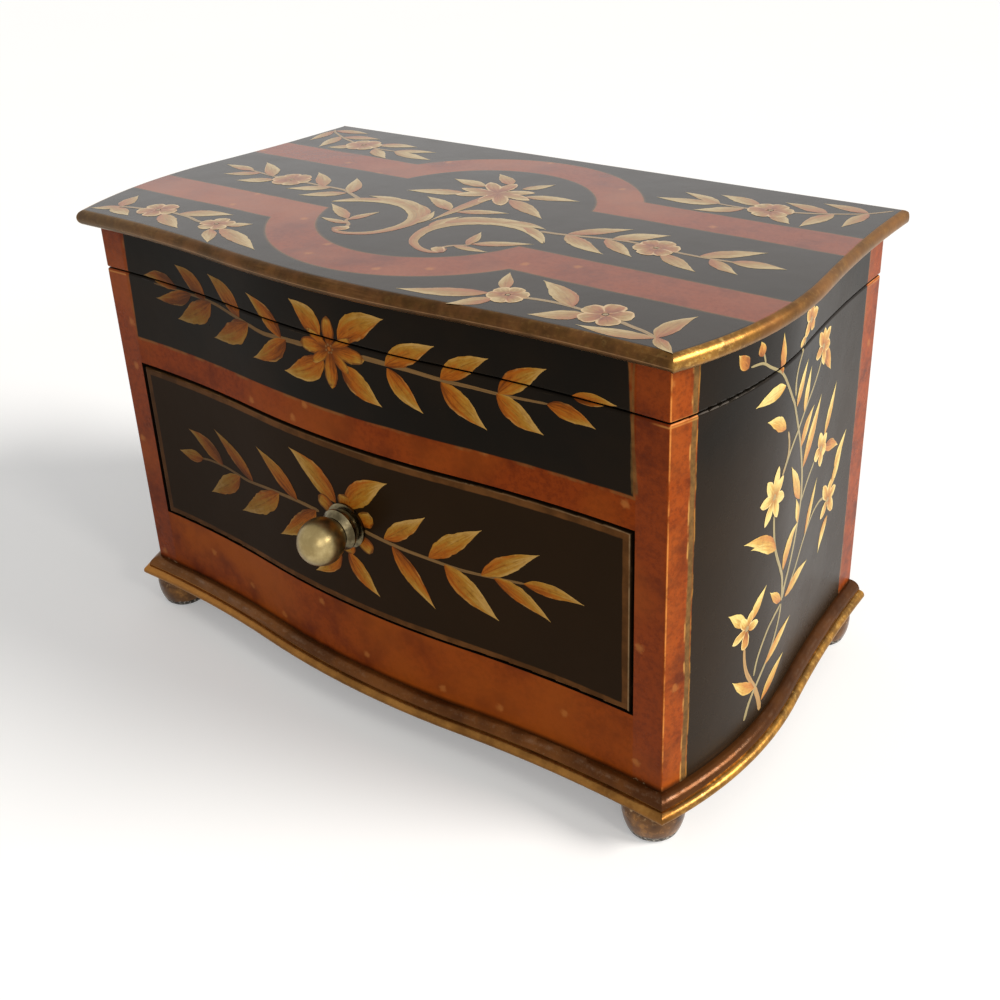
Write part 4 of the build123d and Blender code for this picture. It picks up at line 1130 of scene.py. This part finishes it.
for way in (1, -1):
    art.ribbon(mirrored(way, (21.5, -30.5), (22.3, -33.6), (18.5, -35.6), (13, -34.4), (7, -30),
                        (3.4, -22), (3.0, -14), (6.3, -6.6), (13, -1.2), (22, 1.9), (32, 1.4),
                        (40, -2.6), (46.9, -9.1)),
               [1.6, 2.4, 2.8, 3.4, 4.4, 5.6, 6.2, 6.0, 5.4, 5.4, 5.2, 4.2, 0.5], 0.38)
    root, tip = mirrored(way, (23.4, -33.8), (17.6, -30.6))
    art.petal(*root, *tip, 4.6, 0.1, 0.5)
    art.leaves([(1.6, -15, 4.0, 1.0, 4.6, 0.16, 0.30), (3.0, -8, 16.5, 5.6, 5.6, 0.16, 0.42),
                (10, -1.6, 29, 6.6, 5.6, 0.16, 0.30), (20, 3.0, 39.5, 3.9, 5.0, 0.16, 0.28),
                (30, 2.2, 47.2, -8.2, 4.0, 0.16, 0.35)], layer=2.0, way=way, middle=MIDDLE)
    art.stem(mirrored(way, (20, -31), (20.2, -28.6), (22, -26.4), (25, -24.4), (26.3, -21.9)),
             1.6, 1.2, 0.3)
    art.leaves([(25.2, -23.4, 21.3, -10, 4.2, -0.05, 0.45),
                (26.3, -22.2, 45, -11.3, 5.0, 0.03, 0.35),
                (21.9, -26.3, 36.3, -26, 3.4, -0.06, 0.35)], way=way, middle=MIDDLE)
art.stem([(38.5, 1.2), (47.5, 2.5), (57.5, 5), (70, 7.5), (80, 7), (91.3, 6), (101.3, 6),
          (112, 6.9)], 1.8, 1.2, 0.2)
art.stem([(-44, -1.6), (-53, 2.6), (-60, 5.2), (-75, 5.2), (-89, 5.6), (-100, 5.6),
          (-116, 7.6)], 1.8, 1.2, 0.2)
art.leaves([
    (48.8, 4.0, 66, 19.8, 6.4, 0.03, 0.42), (65, 7.4, 80.4, 20.2, 7.2, 0.05, 0.20),
    (48.8, 3.1, 70.6, -8.1, 7.0, -0.08, 0.30), (63.1, 5.8, 80, -5.6, 5.8, -0.02, 0.35),
    (86.9, 2.4, 104.4, -7.5, 6.2, -0.04, 0.35), (98.8, 6.4, 116.4, 20.6, 7.0, 0.04, 0.30),
    (103.1, 5.6, 116.9, -3.1, 5.2, -0.06, 0.42), (110, 6.8, 128.1, 9, 6.2, 0.02, 0.30),
    (-53.8, 3.2, -66.5, 20.8, 6.2, -0.05, 0.30), (-55, 2.4, -70, -9.4, 6.2, 0.02, 0.25),
    (-70, 5.0, -87, 19.3, 6.2, -0.06, 0.40), (-66, 4.8, -81.3, -5, 6.2, 0.02, 0.20),
    (-100, 5.6, -119, 20, 6.2, -0.06, 0.30), (-95, 1.6, -108.8, -6.9, 6.2, 0.02, 0.22),
    (-108, 6.2, -121.3, -2.5, 5.4, 0.02, 0.45), (-114, 7.6, -131.9, 8.8, 5.2, -0.04, 0.35)])
art.blossom(82.5, 6.5, 8.2, 6, 0.35, 0.62)
art.blossom(-88.8, 5.6, 8.6, 6, 0.2, 0.66)
# Front right corner
art.stem([(70, -54), (76, -52.6), (82.5, -52.1), (92, -52.7)], 1.6, 1.4, 0.15)
art.stem([(105, -54.6), (110, -56.2), (115, -57.5), (120.5, -60)], 1.7, 1.3, 0.2)
art.leaves([
    (59.5, -56, 32.1, -67.8, 6.8, 0.06, 0.42), (61.9, -51.3, 54.4, -38.1, 4.6, 0.04, 0.35),
    (63.1, -58.8, 53.5, -69.8, 5.8, 0.10, 0.38), (87.5, -52.3, 67.5, -38.5, 7.8, -0.10, 0.35),
    (94.4, -55, 79.4, -64, 6.8, 0.06, 0.35), (119.5, -60, 95.6, -63.1, 5.4, 0.08, 0.30),
    (120, -59.6, 122.5, -40, 6.4, 0.16, 0.45), (119.6, -59.4, 128.8, -66.5, 4.4, -0.06, 0.40)])
art.blossom(65.4, -54.4, 6.8, 6, 0.5, 0.42)
art.blossom(99, -52.5, 8.6, 5, 0.35, 0.62)
# Front left corner
art.stem([(-95, -50.6), (-85, -51.3), (-77.5, -53.1), (-72, -52.6)], 1.6, 1.4, 0.15)
art.stem([(-108, -53.2), (-114, -54.2), (-121, -56.2)], 1.6, 1.3, 0.2)
art.leaves([
    (-91.3, -50.4, -71.9, -41, 7.2, 0.10, 0.25), (-96.9, -53.8, -77.5, -62.5, 6.8, -0.06, 0.35),
    (-63.8, -54.6, -34.4, -65, 6.8, 0.03, 0.30), (-66.3, -57.5, -55, -68.1, 5.2, 0.04, 0.30),
    (-63.8, -51.3, -56.9, -45, 4.6, 0.05, 0.20), (-119.4, -55.6, -125.6, -42.5, 6.2, 0.04, 0.50),
    (-121, -58.6, -106.9, -61.9, 6.2, 0.06, 0.30), (-119, -56.2, -128.1, -63.1, 4.6, 0.04, 0.35)])
art.blossom(-102.5, -51.3, 8.2, 5, 0.1, 0.60)
art.blossom(-68.8, -51.9, 7.0, 5, 0.7, 0.45)
# Back corners; the left one is the right one's mirror image
for way in (1, -1):
    art.stem(mirrored(way, (92, 62.2), (80, 62.1), (72.5, 63.6)), 1.5, 1.0, 0.2)
    # The ring isn't quite in the middle of the lid, so the left tip stops sooner at the edge.
    tip = ((132.5, 81.5), (135.6, 85.4)) if way == 1 else ((130.6, 79.8),)
    art.stem(mirrored(way, (103, 65), (112.5, 68.4), (120, 72.1), (127.5, 76.5), *tip),
             1.6, 1.0, 0.2)
    art.leaves([
        (77.5, 62.8, 59.4, 69.6, 5.2, -0.06, 0.20), (77, 61.9, 53.1, 58.4, 6.2, 0.06, 0.12),
        (88.1, 61.2, 72.5, 50.9, 6.2, 0.08, 0.25), (91.3, 67.1, 73.1, 73, 6.8, -0.10, 0.25),
        (100, 60.9, 109.8, 52.8, 6.2, -0.08, 0.35), (116.3, 70.9, 98.1, 75.9, 6.2, -0.06, 0.50),
        (118.8, 70.8, 113.8, 51.5, 6.2, -0.04, 0.32), (128.8, 78.4, 110.6, 81.5, 5.6, -0.06, 0.45),
        (129.4, 77.4, 126.5, 58.4, 5.2, -0.03, 0.42)], way=way, middle=MIDDLE)
    art.blossom(MIDDLE + way * 100.0, 64, 8.6, 6, 0.3, 0.60)
art.build("lid_top_painting", "lid", strokes["top"])


def side_painting(place, flip):
    """A tall spray with seven flowers that rises from the bottom of a side."""
    art = Painting(place, flip)
    art.stem([(-11, 24.3), (-12.9, 29.9), (-16, 36.8), (-19.1, 41.8), (-22.3, 47.4),
              (-24.1, 53), (-24.8, 59.3)], 2.6, 1.4, 0.45)
    art.stem([(-22.3, 27), (-19.1, 33.6), (-13.5, 39.3), (-7.3, 44.3), (-2.3, 49.9),
              (0.9, 56.1), (2.1, 61.1)], 1.8, 1.5)
    art.stem([(-17.3, 43), (-16, 48), (-12.9, 53), (-8.5, 57.4), (-3.5, 59.9), (1.5, 61.5)],
             1.3, 1.5)
    art.stem([(2.5, 62.4), (1.5, 71.8), (-1, 77.4), (-4.8, 84.3), (-7.3, 89.9), (-8.6, 95),
              (-9.8, 103)], 1.8, 1.3)
    art.stem([(3, 63), (4, 66.8), (9, 74.3), (12.8, 81.8), (14.6, 88), (16.5, 95.5),
              (15.9, 104.3), (14, 111.8), (10.9, 120.5), (7.1, 128), (4, 134.3), (1.5, 139.3),
              (-0.4, 141.8), (-4.8, 148), (-9.8, 154.3), (-14.8, 157.8), (-18.5, 159.9),
              (-23.5, 163), (-29.8, 164)], 2.2, 0.8)
    art.stem([(10, 64), (15.3, 67.4), (20.3, 72.4), (26.5, 78), (32.8, 81.8), (39, 82.8),
              (44, 81.8)], 1.6, 1.1)
    art.stem([(-3.5, 118), (1.5, 123), (7.8, 127.4), (14, 131.8), (21.5, 136.8), (26.5, 141.8),
              (29, 146)], 1.6, 1.2)
    art.stem([(-5, 116), (-1.4, 121), (-0.8, 126), (-2.5, 131)], 1.8, 1.2, 0.2)
    art.stem([(17.1, 94.9), (22, 99.5), (29, 104.3)], 1.5, 1.3)
    art.stem([(-21.8, 162.4), (-22.7, 165), (-23.6, 166.6)], 0.9, 0.8)
    art.stem([(2.1, 141.8), (1.6, 147), (3.2, 152), (6.3, 155.8), (8.5, 159.5)], 1.5, 1.0)
    art.leaves([
        (5.5, 62.2, 29.6, 63, 6.8, 0.02, 0.30), (1.5, 63, -8.8, 72.4, 5.2, 0.04, 0.50),
        (-16.6, 37.4, -30.8, 48.6, 6.4, 0.10, 0.42), (-9.1, 42.8, 14, 48.6, 6.4, 0.10, 0.32),
        (-10.4, 28, 8.4, 36.1, 7.4, 0.12, 0.40), (1.6, 75.5, 15, 87.4, 8.6, 0.34, 0.34),
        (50.3, 82.4, 60.3, 97.4, 6.4, -0.04, 0.20), (49.6, 71.1, 42.1, 58.6, 6.4, -0.14, 0.24),
        (24.4, 76.8, 34, 95.5, 5.4, 0.02, 0.30), (14.6, 87.4, 10.9, 98.8, 5.2, -0.06, 0.16),
        (-6.4, 88.4, -24.1, 97.4, 7.0, -0.14, 0.34), (-4.8, 133, -18.5, 141.1, 6.6, -0.10, 0.30),
        (4, 137.2, 13, 150.5, 6.2, 0.05, 0.24), (12.8, 131.2, 17.5, 146.1, 6.2, 0.06, 0.14),
        (11.5, 118.4, 23.8, 129, 7.2, 0.10, 0.34), (15.9, 108.6, 31.3, 129.9, 9.0, -0.04, 0.36),
        (14.8, 96.8, 3, 115.3, 7.4, -0.02, 0.34), (-7.6, 91.4, -28.5, 101.5, 6.4, -0.08, 0.40),
        (38.4, 110.4, 47.1, 128, 6.2, -0.02, 0.22), (39.4, 105, 54.6, 99, 6.4, 0.08, 0.70),
        (52.8, 90.5, 62.8, 101.8, 6.4, 0.0, 0.22), (-7.3, 149.2, -26, 148.9, 6.8, -0.04, 0.04),
        (-10.4, 154.8, -11, 168.6, 5.4, -0.04, 0.62), (-31, 164.2, -36, 169.8, 6.4, 0.0, 0.75),
        (-23.4, 165.4, -25, 170.6, 5.6, 0.0, 0.70)], narrow=0.74)

    def flower(u, v, tips, tone, width=5.2):
        for k, (tu, tv) in enumerate(tips):
            art.leaf(u, v, tu, tv, width * 0.80, 0.03, tone + 0.10 * math.sin(2.9 * k),
                     2.0 + 0.3 * k, 0.9, 0.8, kind=1)
        art.dot(u, v, 1.1, 0.15)
        for k in range(5):
            art.dot(u + 1.7 * math.cos(1.26 * k), v + 1.7 * math.sin(1.26 * k), 0.38, 0.9, 5.5)

    flower(-23.8, 66.6, [(-32, 64.5), (-16.6, 65.4), (-27.6, 72.4), (-20.6, 72.6)], 0.30, 4.6)
    art.leaf(-25, 68.5, -34.8, 77.6, 4.6, -0.06, 0.15)
    art.leaf(-22, 68.5, -12, 77.4, 4.8, 0.04, 0.20)
    art.petal(-24.2, 66, -24.6, 58.6, 4.6, 0.0, 0.75)
    flower(48.4, 78.6, [(42.1, 87.4), (50.4, 86.4), (56.5, 80.5), (54.8, 71.1), (41.5, 73.6)],
           0.42, 6.0)
    flower(-10.4, 110.5, [(-16, 118.6), (-20, 111.5), (-16.3, 102), (-7.3, 101.5),
                          (-2.5, 106.8), (-4.0, 115.6), (-8.3, 121.1)], 0.12, 5.4)
    flower(35.5, 106.3, [(28.4, 105.5), (33.2, 113.6), (41.2, 110), (36.5, 98.6), (41, 103)],
           0.30, 6.4)
    flower(29, 148.6, [(24, 155.2), (29.4, 155.4), (35.5, 153.6), (36, 147), (31, 141),
                       (21.5, 147)], 0.52, 5.4)
    art.leaf(31, 147, 39, 136.1, 5.4, 0.04, 0.72)
    flower(12.8, 164.3, [(7.8, 168.6), (14, 170.4), (19.6, 165.8), (16.4, 160.4), (7.0, 160.4)],
           0.58, 5.4)
    art.petal(8.5, 160.5, 3.2, 158.6, 2.6, 0.0, 0.45)
    return art


for name, way in (("right", 1), ("left", -1)):
    art = side_painting(on_side(way), flip=way < 0)
    art.build(f"side_spray_case_{name}", "case", strokes["side"], below=CASE_RIM - 0.15)
    art.build(f"side_spray_lid_{name}", "lid", strokes["side"], above=LID_RIM + 0.15)


def add_piece(name, bm, paint, body, slot, *nodes):
    mesh = bpy.data.meshes.new(name)
    bmesh.ops.recalc_face_normals(bm, faces=bm.faces[:])
    for face in bm.faces:
        face.smooth = True
    bm.to_mesh(mesh)
    bm.free()
    mesh.materials.append(paint)
    obj = bpy.data.objects.new(name, mesh)
    scene.collection.objects.link(obj)
    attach(obj, body)
    if nodes:
        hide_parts(*nodes)
    return obj


BOARD_STEP = 6.0     # between the points of a padded face
SWELL = 14.0         # how fast a padded face rises from its edges


def soft_board(low, high, radius, crown, thin):
    """A closed padded board between two corners, in millimetres: rounded edges, and a face
    that swells towards its middle. thin is the axis of its thickness, and the face is at the
    high end of it, or at the low end if crown is below 0."""
    bm = bmesh.new()
    u_axis, v_axis = [axis for axis in range(3) if axis != thin]
    size = [high[axis] - low[axis] for axis in range(3)]
    thick = size[thin]
    radius = min(radius, thick * 0.49)

    def spread(length):
        # Even steps, with closer ones in the rounded edge.
        n = max(6, int(length / BOARD_STEP))
        inner = [radius + (length - 2 * radius) * i / n for i in range(n + 1)]
        edge = [radius * (1 - math.cos(math.pi / 2 * k / 3)) for k in range(3)]
        return edge + inner + [length - e for e in reversed(edge)]

    def fall(value, length):
        away = min(value, length - value)
        if away >= radius:
            return 0.0
        return radius - math.sqrt(max(radius ** 2 - (radius - away) ** 2, 0.0))

    def swell(u, v):
        full = 1.0
        for value, length in ((u, size[u_axis]), (v, size[v_axis])):
            full *= 1 - math.exp(-min(value, length - value) / SWELL)
        return full * (1 + noise.noise(Vector((u * 0.045, v * 0.045, low[0]))) * 0.25)

    us, vs = spread(size[u_axis]), spread(size[v_axis])
    sheets = []
    for is_face in (True, False):
        rows = []
        for u in us:
            row = []
            for v in vs:
                drop = min(radius, fall(u, size[u_axis]) + fall(v, size[v_axis]))
                height = min(drop, thick * 0.45)
                if is_face:
                    height = max(thick - abs(crown) * (1 - swell(u, v)) - drop, thick * 0.5)
                point = [0.0, 0.0, 0.0]
                point[u_axis] = low[u_axis] + u
                point[v_axis] = low[v_axis] + v
                point[thin] = low[thin] + (height if crown > 0 else thick - height)
                row.append(bm.verts.new([c * MM for c in point]))
            rows.append(row)
        sheets.append(rows)
    for rows in sheets:
        for a, b in zip(rows, rows[1:]):
            for j in range(len(vs) - 1):
                bm.faces.new((a[j], b[j], b[j + 1], a[j + 1]))
    rims = []
    for rows in sheets:
        far_side = [row[-1] for row in rows[-2:0:-1]]
        rims.append([row[0] for row in rows[:-1]] + rows[-1] + far_side + rows[0][:0:-1])
    bridge(bm, *rims)
    return bm


def bridge(bm, a, b):
    # Faces between two rings of points; a ring may be one point in the middle of a cap.
    for k in range(max(len(a), len(b))):
        n = k + 1
        corners = (a[k % len(a)], b[k % len(b)], b[n % len(b)], a[n % len(a)])
        bm.faces.new(list(dict.fromkeys(corners)))


def millimetres(node):
    low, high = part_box(node)
    return [v / MM for v in low], [v / MM for v in high]


for name, node, body, thin, crown, radius, fill in (
        ("well_floor_cushion", "well_floor_pad", "case", 2, 0.9, 1.3, 0.7),
        ("drawer_cushion", "drawer_pad", "drawer", 2, 0.6, 0.9, 0.7),
        ("lid_padding", "lid_lining", "lid", 2, -0.15, 0.5, 0.8),
        ("well_card_front", "well_lining_front", "case", 1, 0.25, 0.5, 0.8),
        ("well_card_back", "well_lining_back", "case", 1, -0.25, 0.5, 0.8),
        ("well_card_left", "well_lining_left", "case", 0, 0.25, 0.5, 0.8),
        ("well_card_right", "well_lining_right", "case", 0, -0.25, 0.5, 0.8),
        ("velvet_divider", "well_divider", "case", 0, 0.3, 1.3, 0.8)):
    bm = soft_board(*millimetres(node), radius, crown, thin)
    piece = add_piece(name, bm, velvet_red, body, "velvet", node)

ROLLS = 7
ROLL_GAP = 0.6
ROLL_END = 6.0       # the length over which a roll rounds off at its ends
ROLL_STEPS = 34
ROLL_SIDES = 24


def ring_rolls(low, high):
    """Padded bars side by side, slightly uneven, with flatter undersides."""
    bm = bmesh.new()
    pitch = (high[1] - low[1] + ROLL_GAP) / ROLLS
    width = pitch - ROLL_GAP
    length, tall = high[0] - low[0], high[2] - low[2]
    for index in range(ROLLS):
        middle = low[1] + pitch * index + width / 2
        rings = []
        for i in range(ROLL_STEPS + 1):
            # Steps gather at the ends.
            s = 0.5 - 0.5 * math.cos(math.pi * i / ROLL_STEPS)
            x = low[0] + length * s
            end = min(1.0, min(s, 1 - s) * length / ROLL_END)
            shrink = math.sqrt(max(1 - (1 - end) ** 2, 0.0)) * 0.4 + 0.6
            puff = 1 - 0.018 * math.sin(x * 0.9 + index * 2.1) - 0.012 * math.sin(x * 2.3 + index)
            ring = []
            for k in range(ROLL_SIDES):
                angle = 2 * math.pi * k / ROLL_SIDES
                c, s_up = math.cos(angle), math.sin(angle)
                across = math.copysign(abs(c) ** 0.72, c) * width / 2 * (0.93 + 0.07 * shrink)
                up = math.copysign(abs(s_up) ** (0.85 if s_up > 0 else 0.35), s_up) * tall / 2
                z = low[2] + tall / 2 + up * (shrink * puff if s_up > 0 else 1.0)
                ring.append(bm.verts.new((x * MM, (middle + across) * MM, z * MM)))
            rings.append(ring)
        for a, b in zip(rings, rings[1:]):
            bridge(bm, a, b)
        bm.faces.new(rings[0])
        bm.faces.new(rings[-1][::-1])
    return bm


rolls = add_piece("velvet_ring_rolls", ring_rolls(*millimetres("ring_rolls")), velvet_red,
                  "case", "velvet", "ring_rolls")

PAD_RADIUS = 8.4
PAD_SIDES = 48
# A felt pad's outline from the middle of its underside to the middle of its top: radius, height
PAD_OUTLINE = ((0.0, 0.0), (8.2, 0.0), (PAD_RADIUS, 0.2), (PAD_RADIUS, 0.62), (8.22, 0.8),
               (0.0, 0.8))
FRONT_PAD_X = 120.0


def felt_pads(low, high):
    """Four round pads with worn edges; the back ones stand further out."""
    bm = bmesh.new()
    for side in (-1, 1):
        for x, y in ((high[0] - PAD_RADIUS, high[1] - PAD_RADIUS),
                     (FRONT_PAD_X, low[1] + PAD_RADIUS)):
            rings = []
            for radius, z in PAD_OUTLINE:
                turns = [2 * math.pi * k / PAD_SIDES for k in range(PAD_SIDES if radius else 1)]
                rings.append([bm.verts.new(((side * x + radius * math.cos(turn)) * MM,
                                            (y + radius * math.sin(turn)) * MM, z * MM))
                              for turn in turns])
            for a, b in zip(rings, rings[1:]):
                bridge(bm, a, b)
    return bm


add_piece("foot_felts", felt_pads(*millimetres("foot_pads")), felt_black, "case", "felt",
          "foot_pads")
